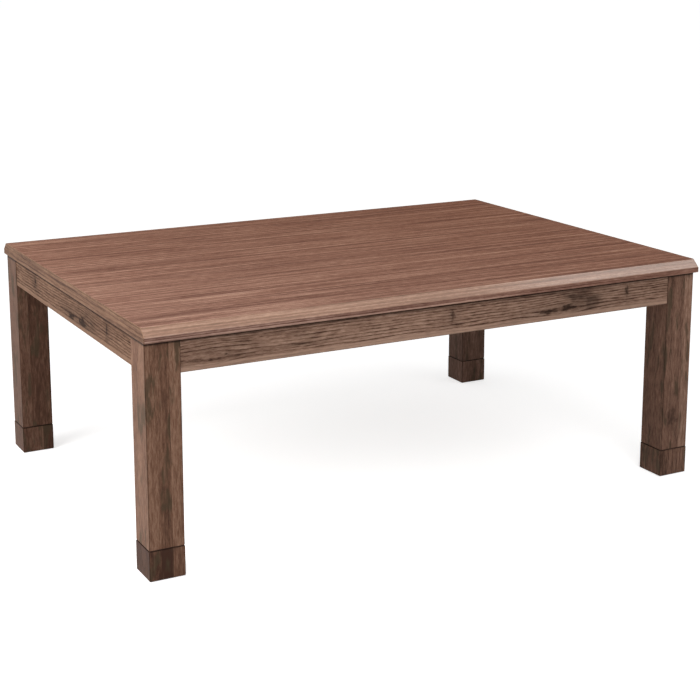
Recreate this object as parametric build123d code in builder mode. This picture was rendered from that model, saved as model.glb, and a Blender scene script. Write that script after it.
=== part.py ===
from build123d import *
import os

# A low heated table. Origin on the floor, in the middle of the table; +X along its
# length, -Y to the front, +Z up. All sizes are in millimetres.

# Tabletop: a core wrapped in laminate over its bevelled long edges, taped at both ends
top_length = 1050.0
top_width = 750.0
top_thickness = 22.0
bevel_height = 13.0
bevel_depth = 14.0
bevel_top_radius = 3.0
bevel_low_radius = 2.0
laminate = 0.6
edge_tape = 1.0
tape_arris = 0.4

# The top stands proud of the frame and rests on small pads let on to it
overhang_end = 3.0
overhang_side = 9.0
pad_height = 2.0
pad_width = 14.0

# Legs and the pull-off extension feet that raise the table
leg_width = 58.0
leg_length = 326.0
foot_width = 59.0
foot_height = 50.0
arris = 1.2
stud_radius = 4.0
stud_proud = 22.0
stud_sunk = 30.0
insert_radius = 6.5
insert_length = 24.0
insert_end_room = 1.0
felt_width = 42.0
felt_thickness = 3.0
felt_proud = 1.0
sole_arris = 0.8

# Aprons
apron_thickness = 20.0
apron_setback = 1.0
long_apron_height = 52.0
short_apron_height = 48.5
apron_arris = 1.5

# Corner joint: a folded steel bracket across each leg's inner corner, with tongues in
# saw kerfs in the aprons, and a hanger bolt that draws the leg on to it
seat_cut = 16.0
seat_height = 46.0
bracket_sheet = 2.5
bracket_height = 36.0
bracket_drop = 6.0
bracket_wing = 34.0
bracket_bend = 3.0
bracket_tongue = 5.0
leg_bolt_radius = 4.0
leg_bolt_sunk = 40.0
leg_bolt_proud = 4.0
washer_radius = 9.0
washer_thickness = 1.6
nut_flats = 13.0
nut_height = 6.5
bolt_hole_room = 0.5

# Rails that carry the heater, let into the long aprons, and the cross pieces let into them
rail_width = 30.0
rail_height = 30.0
rail_drop = 6.0
rail_housing = 6.0
crosspiece_housing = 5.0

# Wood screws: the brackets' into the aprons, and the heater's into the rails
screw_shank = 1.8
screw_length = 15.0
screw_head_radius = 3.6
screw_head_height = 2.2

# Small round pieces and holes are drawn with flat sides, to keep the model light
round_sides = 12
shank_sides = 6
wire_sides = 8

# Heater case: a pressed steel pan that hangs by its flange
case_width = 270.0
case_depth = 52.0
case_sheet = 1.0
case_corner = 8.0
case_flange = 15.0
case_room = 3.0
case_lip = 8.0
case_screw_y = 100.0
vent_length = 26.0
vent_height = 4.0
vent_pitch = 42.0
vent_count = 5
vent_rise = 11.0

# Reflector, its end plates and its hanging tabs
reflector_sheet = 0.8
reflector_end_gap = 16.0
reflector_side_gap = 14.0
reflector_top_gap = 10.0
reflector_rise = 34.0
reflector_flat = 156.0
tab_width = 12.0
tab_foot = 10.0

# U-shaped quartz tube, its element, sockets and clip
tube_radius = 5.5
tube_wall = 1.0
tube_spread = 100.0
tube_drop = 20.0
tube_bend_gap = 11.5
coil_radius = 3.0
socket_radius = 9.0
socket_length = 20.0
socket_depth = 12.0
socket_neck_radius = 7.0
socket_neck_length = 8.0
clip_width = 12.0
clip_sheet = 1.0
clip_reach = 13.0

# Thermostat and thermal fuse, on the back of the reflector
thermostat_radius = 8.0
thermostat_height = 7.0
thermostat_x = 30.0
fuse_radius = 2.2
fuse_length = 14.0
fuse_x = -10.0
wire_radius = 1.1
wire_stand_off = 4.0
wire_turn_x = 100.0

# Power inlet on the end of the case
inlet_width = 34.0
inlet_height = 16.0
inlet_proud = 17.0
inlet_wall = 2.5
inlet_inside = 8.0
inlet_floor = 3.0
inlet_flange = 3.0
inlet_flange_sheet = 1.5
inlet_pin_radius = 2.0
inlet_pin_pitch = 16.0
inlet_pin_reach = 11.0
pin_tip = 0.5

# Guard: a pressed rim with a grille of welded wires
guard_depth = 15.0
guard_sheet = 1.0
guard_lip = 5.0
guard_screw_y = 80.0
guard_screw_shank = 1.4
guard_screw_length = 8.0
guard_screw_head_radius = 2.6
guard_screw_head_height = 1.6
grille_wire_radius = 1.25
wire_pitch = 10.0
cross_wire_pitch = 75.0
wire_end_room = 0.5

# Clearances
fit_room = 0.05
rest_room = 0.3

# Levels and places worked out from the sizes above
frame_top = foot_height + leg_length
top_underside = frame_top + pad_height
frame_length = top_length - 2 * overhang_end
frame_width = top_width - 2 * overhang_side
leg_x = (frame_length - leg_width) / 2
leg_y = (frame_width - leg_width) / 2
long_apron_y = frame_width / 2 - apron_setback - apron_thickness / 2
short_apron_x = frame_length / 2 - apron_setback - apron_thickness / 2
apron_inner_x = short_apron_x - apron_thickness / 2
apron_inner_y = long_apron_y - apron_thickness / 2
leg_inner_x = leg_x - leg_width / 2
leg_inner_y = leg_y - leg_width / 2
seat_line = leg_inner_x + leg_inner_y + seat_cut
bracket_seat_x = seat_line - apron_inner_y
bracket_seat_y = seat_line - apron_inner_x
bracket_z = frame_top - bracket_drop - bracket_height / 2
rail_top = frame_top - rail_drop
rail_x = case_width / 2 + case_room + rail_width / 2
case_screw_x = (case_width + case_room + case_flange) / 2
case_inner = case_width / 2 - case_sheet
case_bottom = rail_top - case_depth
reflector_x = case_inner - reflector_end_gap
reflector_y = case_inner - reflector_side_gap
reflector_z = rail_top - reflector_top_gap
tube_z = reflector_z - tube_drop
socket_x = -reflector_x + reflector_sheet
tube_start = socket_x + socket_length - socket_depth
tube_bend_x = reflector_x - reflector_sheet - tube_bend_gap - tube_radius - tube_spread / 2
inlet_body_width = inlet_width - 2 * inlet_wall
inlet_body_height = inlet_height - 2 * inlet_wall
inlet_z = case_bottom + case_sheet + inlet_height / 2 + rest_room
guard_inner = case_width / 2 - case_lip
guard_screw_x = case_width / 2 - case_lip / 2
guard_wire_z = case_bottom - guard_depth + guard_sheet + grille_wire_radius

corners = {
    "front_left": (-1, -1),
    "front_right": (1, -1),
    "back_left": (-1, 1),
    "back_right": (1, 1),
}
ends = {"left": -1, "right": 1}
sides = {"front": -1, "back": 1}

os.makedirs("parts", exist_ok=True)


def small_circle(radius, mode=Mode.ADD):
    """Draw a small round piece or hole in the open sketch, with its corners at `radius`."""
    RegularPolygon(radius, round_sides, mode=mode)


def mirror_to_all_corners():
    """Copy what is in the open part from the back right corner to the other three."""
    mirror(about=Plane.YZ)
    mirror(about=Plane.XZ)


# ---------------------------------------------------------------- tabletop


def slab_section(inset=0.0):
    """Section of the finished slab across its length, drawn `inset` inside its skin."""
    half = top_width / 2
    slab_top = top_underside + top_thickness
    with BuildSketch() as section:
        with BuildLine():
            Polyline(
                (-half, top_underside),
                (half, top_underside),
                (half, slab_top - bevel_height),
                (half - bevel_depth, slab_top),
                (bevel_depth - half, slab_top),
                (-half, slab_top - bevel_height),
                close=True,
            )
        make_face()
        fillet(section.vertices().group_by(Axis.Y)[-1], bevel_top_radius)
        fillet(section.vertices().group_by(Axis.Y)[1], bevel_low_radius)
        if inset > 0:
            offset(amount=-inset, mode=Mode.REPLACE)
    return section.sketch_local


# The core: particle board, cut to the section less the laminate all round
core_length = top_length - 2 * edge_tape
with BuildPart() as top_core:
    with BuildSketch(Plane.YZ.offset(-core_length / 2)):
        add(slab_section(inset=laminate))
    extrude(amount=core_length)
top_core.part.label = "top_core"
export_step(top_core.part, "parts/top_core.step")

# The walnut face, one sheet wrapped down over both long edges
with BuildPart() as top_face_sheet:
    with BuildSketch(Plane.YZ.offset(-core_length / 2)):
        add(slab_section())
        add(slab_section(inset=laminate), mode=Mode.SUBTRACT)
        with Locations((0, top_underside + laminate / 2)):
            Rectangle(top_width - 2 * laminate, laminate, mode=Mode.SUBTRACT)
    extrude(amount=core_length)
top_face_sheet.part.label = "top_face_sheet"
export_step(top_face_sheet.part, "parts/top_face_sheet.step")

# The balancing sheet under the core
with BuildPart() as top_backing_sheet:
    with BuildSketch(Plane.XY.offset(top_underside)):
        Rectangle(core_length, top_width - 2 * laminate)
    extrude(amount=laminate)
top_backing_sheet.part.label = "top_backing_sheet"
export_step(top_backing_sheet.part, "parts/top_backing_sheet.step")

# The tape on each short edge, cut to the slab's section and eased at its outer arris
for end, side in ends.items():
    with BuildPart() as tape:
        with BuildSketch(Plane.YZ.offset(side * core_length / 2)):
            add(slab_section())
        extrude(amount=side * edge_tape)
        outer_face = tape.faces().sort_by(Axis.X)[-1 if side > 0 else 0]
        chamfer(outer_face.edges(), tape_arris)
    tape.part.label = f"top_edge_tape_{end}"
    export_step(tape.part, f"parts/top_edge_tape_{end}.step")

# ---------------------------------------------------------------- legs and feet


def leg_plane(side_x, side_y, height):
    """Level plane centred on one leg, at the given height above the floor."""
    return Plane((side_x * leg_x, side_y * leg_y, height))


def seat_plane(side_x, side_y, stand_off=0.0):
    """Plane on the middle of a leg's bracket seat: x is up, z points into the leg."""
    out_x = leg_inner_x + seat_cut / 2
    out_y = leg_inner_y + seat_cut / 2
    seat = Plane((side_x * out_x, side_y * out_y, bracket_z), x_dir=(0, 0, 1), z_dir=(side_x, side_y, 0))
    return seat.offset(-stand_off)


# Each leg: a laminated block, eased all round, with a flat across its inner corner for
# the bracket, and a hole in its lower end for the threaded insert
for corner, (side_x, side_y) in corners.items():
    with BuildPart() as leg:
        with BuildSketch(leg_plane(side_x, side_y, foot_height)):
            Rectangle(leg_width, leg_width)
        extrude(amount=leg_length)
        chamfer(leg.edges().filter_by(Axis.Z), arris)
        chamfer(leg.faces().sort_by(Axis.Z)[0].edges(), arris)
        with BuildSketch(Plane.XY.offset(frame_top)):
            with BuildLine():
                Polyline(
                    (side_x * leg_inner_x, side_y * leg_inner_y),
                    (side_x * (leg_inner_x + seat_cut), side_y * leg_inner_y),
                    (side_x * leg_inner_x, side_y * (leg_inner_y + seat_cut)),
                    close=True,
                )
            make_face()
        extrude(amount=-seat_height, mode=Mode.SUBTRACT)
        with BuildSketch(leg_plane(side_x, side_y, foot_height)):
            small_circle(insert_radius + fit_room)
        extrude(amount=insert_length + insert_end_room, mode=Mode.SUBTRACT)
    leg.part.label = f"leg_{corner}"
    export_step(leg.part, f"parts/leg_{corner}.step")

# The threaded inserts in the legs' lower ends, which take the studs of the feet
with BuildPart() as leg_inserts:
    with BuildSketch(leg_plane(1, 1, foot_height)):
        small_circle(insert_radius)
        small_circle(stud_radius + fit_room, mode=Mode.SUBTRACT)
    extrude(amount=insert_length)
    mirror_to_all_corners()
leg_inserts.part.label = "leg_inserts"
export_step(leg_inserts.part, "parts/leg_inserts.step")

# Each extension foot: a block a hair wider than the leg, with a recess under it for
# the felt, its stud, screwed into the block and proud of it, and the felt sole
for corner, (side_x, side_y) in corners.items():
    with BuildPart() as foot:
        with BuildSketch(leg_plane(side_x, side_y, felt_proud)):
            Rectangle(foot_width, foot_width)
        extrude(amount=foot_height - felt_proud)
        chamfer(foot.edges().filter_by(Axis.Z), arris)
        chamfer(foot.faces().sort_by(Axis.Z)[-1].edges(), arris)
        chamfer(foot.faces().sort_by(Axis.Z)[0].edges(), sole_arris)
        with BuildSketch(leg_plane(side_x, side_y, felt_proud)):
            Rectangle(felt_width + 2 * rest_room, felt_width + 2 * rest_room)
        extrude(amount=felt_thickness - felt_proud, mode=Mode.SUBTRACT)
    foot.part.label = f"foot_{corner}"
    export_step(foot.part, f"parts/foot_{corner}.step")

    with BuildPart() as stud:
        with BuildSketch(leg_plane(side_x, side_y, foot_height - stud_sunk)):
            small_circle(stud_radius)
        extrude(amount=stud_sunk + stud_proud)
    stud.part.label = f"foot_stud_{corner}"
    export_step(stud.part, f"parts/foot_stud_{corner}.step")

    with BuildPart() as felt:
        with BuildSketch(leg_plane(side_x, side_y, 0)):
            Rectangle(felt_width, felt_width)
        extrude(amount=felt_thickness)
    felt.part.label = f"foot_felt_{corner}"
    export_step(felt.part, f"parts/foot_felt_{corner}.step")

# ---------------------------------------------------------------- aprons and rails

wing_screw_x = bracket_seat_x - bracket_wing / 2
wing_screw_y = bracket_seat_y - bracket_wing / 2
tongue_x = bracket_seat_x - bracket_wing - bracket_sheet / 2
tongue_y = bracket_seat_y - bracket_wing - bracket_sheet / 2
kerf_width = bracket_sheet + rest_room
kerf_depth = bracket_tongue + rest_room
kerf_height = bracket_drop + bracket_height + rest_room
rail_end_y = apron_inner_y + rail_housing
crosspiece_end_x = rail_x - rail_width / 2 + crosspiece_housing

# The long aprons, between the legs at the front and back, with kerfs for the brackets'
# tongues and housings for the rails' ends
for name, side in sides.items():
    with BuildPart() as apron:
        with BuildSketch(Plane((0, side * long_apron_y, frame_top))):
            Rectangle(2 * leg_inner_x, apron_thickness)
        extrude(amount=-long_apron_height)
        lower_edges = apron.faces().sort_by(Axis.Z)[0].edges().filter_by(Axis.X)
        chamfer(lower_edges, apron_arris)
        with BuildSketch(Plane((0, side * (apron_inner_y + kerf_depth / 2), frame_top))):
            with GridLocations(2 * tongue_x, 1, 2, 1):
                Rectangle(kerf_width, kerf_depth)
        extrude(amount=-kerf_height, mode=Mode.SUBTRACT)
        with BuildSketch(Plane((0, side * (apron_inner_y + rail_housing / 2), rail_top))):
            with GridLocations(2 * rail_x, 1, 2, 1):
                Rectangle(rail_width, rail_housing)
        extrude(amount=-rail_height, mode=Mode.SUBTRACT)
    apron.part.label = f"apron_{name}"
    export_step(apron.part, f"parts/apron_{name}.step")

# The short aprons, between the legs at each end
for name, side in ends.items():
    with BuildPart() as apron:
        with BuildSketch(Plane((side * short_apron_x, 0, frame_top))):
            Rectangle(apron_thickness, 2 * leg_inner_y)
        extrude(amount=-short_apron_height)
        lower_edges = apron.faces().sort_by(Axis.Z)[0].edges().filter_by(Axis.Y)
        chamfer(lower_edges, apron_arris)
        with BuildSketch(Plane((side * (apron_inner_x + kerf_depth / 2), 0, frame_top))):
            with GridLocations(1, 2 * tongue_y, 1, 2):
                Rectangle(kerf_depth, kerf_width)
        extrude(amount=-kerf_height, mode=Mode.SUBTRACT)
    apron.part.label = f"apron_{name}"
    export_step(apron.part, f"parts/apron_{name}.step")

# The two rails across the frame, which carry the heater's flange, with housings for the
# cross pieces
for name, side in ends.items():
    with BuildPart() as rail:
        with BuildSketch(Plane((side * rail_x, 0, rail_top))):
            Rectangle(rail_width, 2 * rail_end_y)
        extrude(amount=-rail_height)
        housing_x = rail_x - (rail_width - crosspiece_housing) / 2
        with BuildSketch(Plane((side * housing_x, 0, rail_top))):
            with GridLocations(1, 2 * rail_x, 1, 2):
                Rectangle(crosspiece_housing, rail_width)
        extrude(amount=-rail_height, mode=Mode.SUBTRACT)
    rail.part.label = f"rail_{name}"
    export_step(rail.part, f"parts/rail_{name}.step")

# The two cross pieces between the rails, which close the heater's opening
for name, side in sides.items():
    with BuildPart() as crosspiece:
        with BuildSketch(Plane((0, side * rail_x, rail_top))):
            Rectangle(2 * crosspiece_end_x, rail_width)
        extrude(amount=-rail_height)
    crosspiece.part.label = f"crosspiece_{name}"
    export_step(crosspiece.part, f"parts/crosspiece_{name}.step")

# The pads that the top rests on: one on each leg, one on the middle of each apron
with BuildPart() as top_pads:
    with BuildSketch(Plane.XY.offset(frame_top)):
        with GridLocations(2 * leg_x, 2 * leg_y, 2, 2):
            Rectangle(pad_width, pad_width)
        with Locations((0, long_apron_y), (0, -long_apron_y), (short_apron_x, 0), (-short_apron_x, 0)):
            Rectangle(pad_width, pad_width)
    extrude(amount=pad_height)
top_pads.part.label = "top_pads"
export_step(top_pads.part, "parts/top_pads.step")

# ---------------------------------------------------------------- corner hardware

# The brackets: one folded strip of steel from apron to apron across each leg's corner
with BuildPart() as corner_brackets:
    long_wing_end = (bracket_seat_x - bracket_wing, apron_inner_y)
    short_wing_end = (apron_inner_x, bracket_seat_y - bracket_wing)
    with BuildSketch(Plane.XY.offset(bracket_z - bracket_height / 2)):
        with BuildLine():
            Line((bracket_seat_x - bracket_wing, apron_inner_y + bracket_tongue), long_wing_end)
            FilletPolyline(
                long_wing_end,
                (bracket_seat_x, apron_inner_y),
                (apron_inner_x, bracket_seat_y),
                short_wing_end,
                radius=bracket_bend,
            )
            Line(short_wing_end, (apron_inner_x + bracket_tongue, bracket_seat_y - bracket_wing))
            offset(amount=bracket_sheet, side=Side.RIGHT)
        make_face()
    extrude(amount=bracket_height)
    with BuildSketch(seat_plane(1, 1, stand_off=bracket_sheet)):
        small_circle(leg_bolt_radius + bolt_hole_room)
    extrude(amount=bracket_sheet, mode=Mode.SUBTRACT)
    with BuildSketch(Plane.XZ.offset(-apron_inner_y)):
        with Locations((wing_screw_x, bracket_z)):
            small_circle(screw_shank + fit_room)
    extrude(amount=bracket_sheet, mode=Mode.SUBTRACT)
    with BuildSketch(Plane.YZ.offset(apron_inner_x)):
        with Locations((wing_screw_y, bracket_z)):
            small_circle(screw_shank + fit_room)
    extrude(amount=-bracket_sheet, mode=Mode.SUBTRACT)
    mirror_to_all_corners()
corner_brackets.part.label = "corner_brackets"
export_step(corner_brackets.part, "parts/corner_brackets.step")


def make_screw(head_radius, head_height, shank_radius, length):
    """One screw, standing on its head's seat at the origin, point down."""
    with BuildPart() as screw:
        with BuildSketch():
            small_circle(head_radius)
        extrude(amount=head_height)
        chamfer(screw.faces().sort_by(Axis.Z)[-1].edges(), head_height / 2)
        with BuildSketch():
            RegularPolygon(shank_radius, shank_sides)
        extrude(amount=-length)
    return screw.part


wood_screw = make_screw(screw_head_radius, screw_head_height, screw_shank, screw_length)

# The screws through the brackets' wings
with BuildPart() as bracket_screws:
    long_wing = Plane(
        (wing_screw_x, apron_inner_y - bracket_sheet, bracket_z), x_dir=(1, 0, 0), z_dir=(0, -1, 0)
    )
    short_wing = Plane(
        (apron_inner_x - bracket_sheet, wing_screw_y, bracket_z), x_dir=(0, -1, 0), z_dir=(-1, 0, 0)
    )
    with Locations(long_wing, short_wing):
        add(wood_screw)
    mirror_to_all_corners()
bracket_screws.part.label = "bracket_screws"
export_step(bracket_screws.part, "parts/bracket_screws.step")

# The hanger bolts that draw each leg on to its bracket, with their washers and nuts
nut_stand_off = bracket_sheet + washer_thickness + nut_height
with BuildPart() as leg_bolts:
    with BuildSketch(seat_plane(1, 1, stand_off=nut_stand_off + leg_bolt_proud)):
        small_circle(leg_bolt_radius)
    extrude(amount=nut_stand_off + leg_bolt_proud + leg_bolt_sunk)
    mirror_to_all_corners()
leg_bolts.part.label = "leg_bolts"
export_step(leg_bolts.part, "parts/leg_bolts.step")

with BuildPart() as leg_washers:
    with BuildSketch(seat_plane(1, 1, stand_off=bracket_sheet)):
        small_circle(washer_radius)
        small_circle(leg_bolt_radius + fit_room, mode=Mode.SUBTRACT)
    extrude(amount=-washer_thickness)
    mirror_to_all_corners()
leg_washers.part.label = "leg_washers"
export_step(leg_washers.part, "parts/leg_washers.step")

with BuildPart() as leg_nuts:
    with BuildSketch(seat_plane(1, 1, stand_off=bracket_sheet + washer_thickness)):
        RegularPolygon(nut_flats / 2, 6, major_radius=False)
        small_circle(leg_bolt_radius + fit_room, mode=Mode.SUBTRACT)
    extrude(amount=-nut_height)
    mirror_to_all_corners()
leg_nuts.part.label = "leg_nuts"
export_step(leg_nuts.part, "parts/leg_nuts.step")

# ---------------------------------------------------------------- heater case

# The case: a pressed pan, open below, hung by its flange from the rails, with a lip for
# the guard, vents in its walls below the rails, and a window for the inlet
with BuildPart() as heater_case:
    with BuildSketch(Plane.XY.offset(case_bottom)):
        RectangleRounded(case_width, case_width, case_corner)
    extrude(amount=case_depth)
    with BuildSketch(Plane.XY.offset(rail_top)):
        Rectangle(case_width + 2 * case_flange, case_width + 2 * case_flange)
    extrude(amount=case_sheet)
    with BuildSketch(Plane.XY.offset(case_bottom + case_sheet)):
        RectangleRounded(2 * case_inner, 2 * case_inner, case_corner - case_sheet)
    extrude(amount=case_depth - case_sheet, mode=Mode.SUBTRACT)
    with BuildSketch(Plane.XY.offset(case_bottom)):
        RectangleRounded(2 * guard_inner, 2 * guard_inner, case_corner)
    extrude(amount=case_sheet, mode=Mode.SUBTRACT)
    with BuildSketch(Plane.XZ.offset(-case_width / 2), Plane.XZ.offset(case_inner)):
        with Locations((0, case_bottom + vent_rise)):
            with GridLocations(vent_pitch, 1, vent_count, 1):
                Rectangle(vent_length, vent_height)
    extrude(amount=case_sheet, mode=Mode.SUBTRACT)
    with BuildSketch(Plane.YZ.offset(-case_width / 2), Plane.YZ.offset(case_inner)):
        with Locations((0, case_bottom + vent_rise)):
            with GridLocations((vent_count - 1) * vent_pitch, 1, 2, 1):
                Rectangle(vent_length, vent_height)
    extrude(amount=case_sheet, mode=Mode.SUBTRACT)
    with BuildSketch(Plane.YZ.offset(case_inner)):
        with Locations((0, inlet_z)):
            Rectangle(inlet_body_width + 2 * fit_room, inlet_body_height + 2 * fit_room)
    extrude(amount=case_sheet, mode=Mode.SUBTRACT)
    with BuildSketch(Plane.XY.offset(rail_top)):
        with GridLocations(2 * case_screw_x, 2 * case_screw_y, 2, 2):
            small_circle(screw_shank + fit_room)
    extrude(amount=case_sheet, mode=Mode.SUBTRACT)
    with BuildSketch(Plane.XY.offset(case_bottom)):
        with GridLocations(2 * guard_screw_x, 2 * guard_screw_y, 2, 2):
            small_circle(guard_screw_shank + fit_room)
    extrude(amount=case_sheet, mode=Mode.SUBTRACT)
heater_case.part.label = "heater_case"
export_step(heater_case.part, "parts/heater_case.step")

# The screws that hold the flange down on the rails
with BuildPart() as heater_screws:
    with Locations(Plane.XY.offset(rail_top + case_sheet)):
        with GridLocations(2 * case_screw_x, 2 * case_screw_y, 2, 2):
            add(wood_screw)
heater_screws.part.label = "heater_screws"
export_step(heater_screws.part, "parts/heater_screws.step")

# ---------------------------------------------------------------- reflector

# The reflector: a bright trough with sloping sides, closed at both ends by plates whose
# tabs stand up to the case and are folded against it
with BuildPart() as reflector:
    with BuildSketch(Plane.YZ.offset(-reflector_x)):
        with BuildLine():
            Polyline(
                (-reflector_y, reflector_z - reflector_rise),
                (-reflector_flat / 2, reflector_z),
                (reflector_flat / 2, reflector_z),
                (reflector_y, reflector_z - reflector_rise),
            )
            offset(amount=reflector_sheet, side=Side.RIGHT)
        make_face()
    extrude(amount=2 * reflector_x)
    with BuildSketch(Plane.YZ.offset(-reflector_x), Plane.YZ.offset(reflector_x - reflector_sheet)):
        with BuildLine():
            Polyline(
                (-reflector_y, reflector_z - reflector_rise),
                (-reflector_flat / 2, reflector_z),
                (reflector_flat / 2, reflector_z),
                (reflector_y, reflector_z - reflector_rise),
                close=True,
            )
        make_face()
        with Locations((0, reflector_z + reflector_top_gap / 2)):
            with GridLocations(reflector_flat - tab_width, 1, 2, 1):
                Rectangle(tab_width, reflector_top_gap)
    extrude(amount=reflector_sheet)
    with BuildSketch(Plane.XY.offset(rail_top)):
        with GridLocations(2 * reflector_x + tab_foot - reflector_sheet, reflector_flat - tab_width, 2, 2):
            Rectangle(tab_foot + reflector_sheet, tab_width)
    extrude(amount=-reflector_sheet)
    with BuildSketch(Plane.YZ.offset(-reflector_x)):
        with Locations((0, tube_z)):
            with GridLocations(tube_spread, 1, 2, 1):
                small_circle(socket_neck_radius + fit_room)
    extrude(amount=reflector_sheet, mode=Mode.SUBTRACT)
reflector.part.label = "reflector"
export_step(reflector.part, "parts/reflector.step")

# ---------------------------------------------------------------- heating tube


def tube_path():
    """Centre line of the tube: out along one leg, round the bend, back along the other."""
    half = tube_spread / 2
    with BuildLine(Plane.XY.offset(tube_z)) as path:
        Polyline((tube_start, -half), (tube_bend_x, -half))
        CenterArc((tube_bend_x, 0), half, -90, 180)
        Polyline((tube_bend_x, half), (tube_start, half))
    return path.wire()


tube_end = Plane((tube_start, -tube_spread / 2, tube_z), z_dir=(1, 0, 0))

# The quartz tube itself
with BuildPart() as heater_tube:
    with BuildSketch(tube_end):
        small_circle(tube_radius)
        small_circle(tube_radius - tube_wall, mode=Mode.SUBTRACT)
    sweep(path=tube_path())
heater_tube.part.label = "heater_tube"
export_step(heater_tube.part, "parts/heater_tube.step")

# The resistance element inside it, as the cylinder that its coil winds
with BuildPart() as heater_element:
    with BuildSketch(tube_end):
        RegularPolygon(coil_radius, wire_sides)
    sweep(path=tube_path())
heater_element.part.label = "heater_element"
export_step(heater_element.part, "parts/heater_element.step")

# The ceramic sockets: each seats on the reflector's end plate, with its neck through it
with BuildPart() as tube_sockets:
    socket_places = Locations((tube_spread / 2, tube_z), (-tube_spread / 2, tube_z))
    with BuildSketch(Plane.YZ.offset(socket_x)):
        with socket_places:
            small_circle(socket_radius)
    extrude(amount=socket_length)
    with BuildSketch(Plane.YZ.offset(socket_x)):
        with socket_places:
            small_circle(socket_neck_radius)
    extrude(amount=-socket_neck_length)
    with BuildSketch(Plane.YZ.offset(tube_start)):
        with socket_places:
            small_circle(tube_radius + fit_room)
    extrude(amount=socket_depth, mode=Mode.SUBTRACT)
tube_sockets.part.label = "tube_sockets"
export_step(tube_sockets.part, "parts/tube_sockets.step")

# The spring clip under the tube's bend, spot welded to the reflector
with BuildPart() as tube_clip:
    clip_x = tube_bend_x + tube_spread / 2 + tube_radius + rest_room
    clip_top = reflector_z - reflector_sheet
    clip_low = tube_z - tube_radius - rest_room - clip_sheet
    with BuildSketch(Plane.XZ.offset(-clip_width / 2)):
        with BuildLine():
            Polyline(
                (clip_x - clip_reach, clip_top),
                (clip_x + clip_sheet, clip_top),
                (clip_x + clip_sheet, clip_low),
                (clip_x - clip_reach, clip_low),
            )
            offset(amount=clip_sheet, side=Side.RIGHT)
        make_face()
    extrude(amount=clip_width)
tube_clip.part.label = "tube_clip"
export_step(tube_clip.part, "parts/tube_clip.step")

# ---------------------------------------------------------------- wiring

with BuildPart() as thermostat:
    with BuildSketch(Plane((thermostat_x, tube_spread / 2, reflector_z))):
        small_circle(thermostat_radius)
    extrude(amount=thermostat_height)
    chamfer(thermostat.faces().sort_by(Axis.Z)[-1].edges(), arris)
thermostat.part.label = "thermostat"
export_step(thermostat.part, "parts/thermostat.step")

with BuildPart() as thermal_fuse:
    with BuildSketch(Plane((fuse_x, -tube_spread / 2, reflector_z + fuse_radius), z_dir=(1, 0, 0))):
        small_circle(fuse_radius)
    extrude(amount=fuse_length / 2, both=True)
thermal_fuse.part.label = "thermal_fuse"
export_step(thermal_fuse.part, "parts/thermal_fuse.step")

# The insulated leads: from each inlet pin to the thermostat or the fuse, and from there
# to its socket, along the back of the reflector
pin_y = inlet_pin_pitch / 2
tube_y = tube_spread / 2
fuse_z = reflector_z + fuse_radius
stat_z = reflector_z + thermostat_height / 2
pin_back = case_inner - inlet_inside
pin_turn = pin_back - wire_stand_off
neck_back = socket_x - socket_neck_length
neck_turn = neck_back - wire_stand_off
lead_routes = [
    [
        (pin_back, pin_y, inlet_z),
        (pin_turn, pin_y, inlet_z),
        (pin_turn, pin_y, stat_z),
        (wire_turn_x, pin_y, stat_z),
        (wire_turn_x - tube_spread / 2, tube_y, stat_z),
        (thermostat_x + thermostat_radius, tube_y, stat_z),
    ],
    [
        (thermostat_x - thermostat_radius, tube_y, stat_z),
        (neck_turn, tube_y, stat_z),
        (neck_turn, tube_y, tube_z),
        (neck_back, tube_y, tube_z),
    ],
    [
        (pin_back, -pin_y, inlet_z),
        (pin_turn, -pin_y, inlet_z),
        (pin_turn, -pin_y, fuse_z),
        (wire_turn_x, -pin_y, fuse_z),
        (wire_turn_x - tube_spread / 2, -tube_y, fuse_z),
        (fuse_x + fuse_length / 2, -tube_y, fuse_z),
    ],
    [
        (fuse_x - fuse_length / 2, -tube_y, fuse_z),
        (neck_turn, -tube_y, fuse_z),
        (neck_turn, -tube_y, tube_z),
        (neck_back, -tube_y, tube_z),
    ],
]
with BuildPart() as lead_wires:
    for route in lead_routes:
        with BuildLine() as lead:
            Polyline(*route)
        with BuildSketch(Plane(lead.line @ 0, z_dir=lead.line % 0)):
            RegularPolygon(wire_radius, wire_sides)
        sweep(path=lead.wire(), transition=Transition.RIGHT)
lead_wires.part.label = "lead_wires"
export_step(lead_wires.part, "parts/lead_wires.step")

# ---------------------------------------------------------------- power inlet

# The inlet: a moulded shroud outside the case's wall, a flange against it, and a block
# inside that carries the pins
with BuildPart() as power_inlet:
    with BuildSketch(Plane.YZ.offset(case_inner - inlet_inside)):
        with Locations((0, inlet_z)):
            Rectangle(inlet_body_width, inlet_body_height)
    extrude(amount=inlet_inside + case_sheet)
    with BuildSketch(Plane.YZ.offset(case_width / 2)):
        with Locations((0, inlet_z)):
            RectangleRounded(inlet_width + 2 * inlet_flange, inlet_height, arris)
    extrude(amount=inlet_flange_sheet)
    with BuildSketch(Plane.YZ.offset(case_width / 2)):
        with Locations((0, inlet_z)):
            RectangleRounded(inlet_width, inlet_height, inlet_wall)
    extrude(amount=inlet_proud)
    with BuildSketch(Plane.YZ.offset(case_width / 2 + inlet_floor)):
        with Locations((0, inlet_z)):
            RectangleRounded(inlet_width - 2 * inlet_wall, inlet_height - 2 * inlet_wall, arris)
    extrude(amount=inlet_proud, mode=Mode.SUBTRACT)
    with BuildSketch(Plane.YZ.offset(case_inner - inlet_inside)):
        with Locations((0, inlet_z)):
            with GridLocations(inlet_pin_pitch, 1, 2, 1):
                small_circle(inlet_pin_radius + fit_room)
    extrude(amount=inlet_inside + case_sheet + inlet_floor, mode=Mode.SUBTRACT)
power_inlet.part.label = "power_inlet"
export_step(power_inlet.part, "parts/power_inlet.step")

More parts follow.
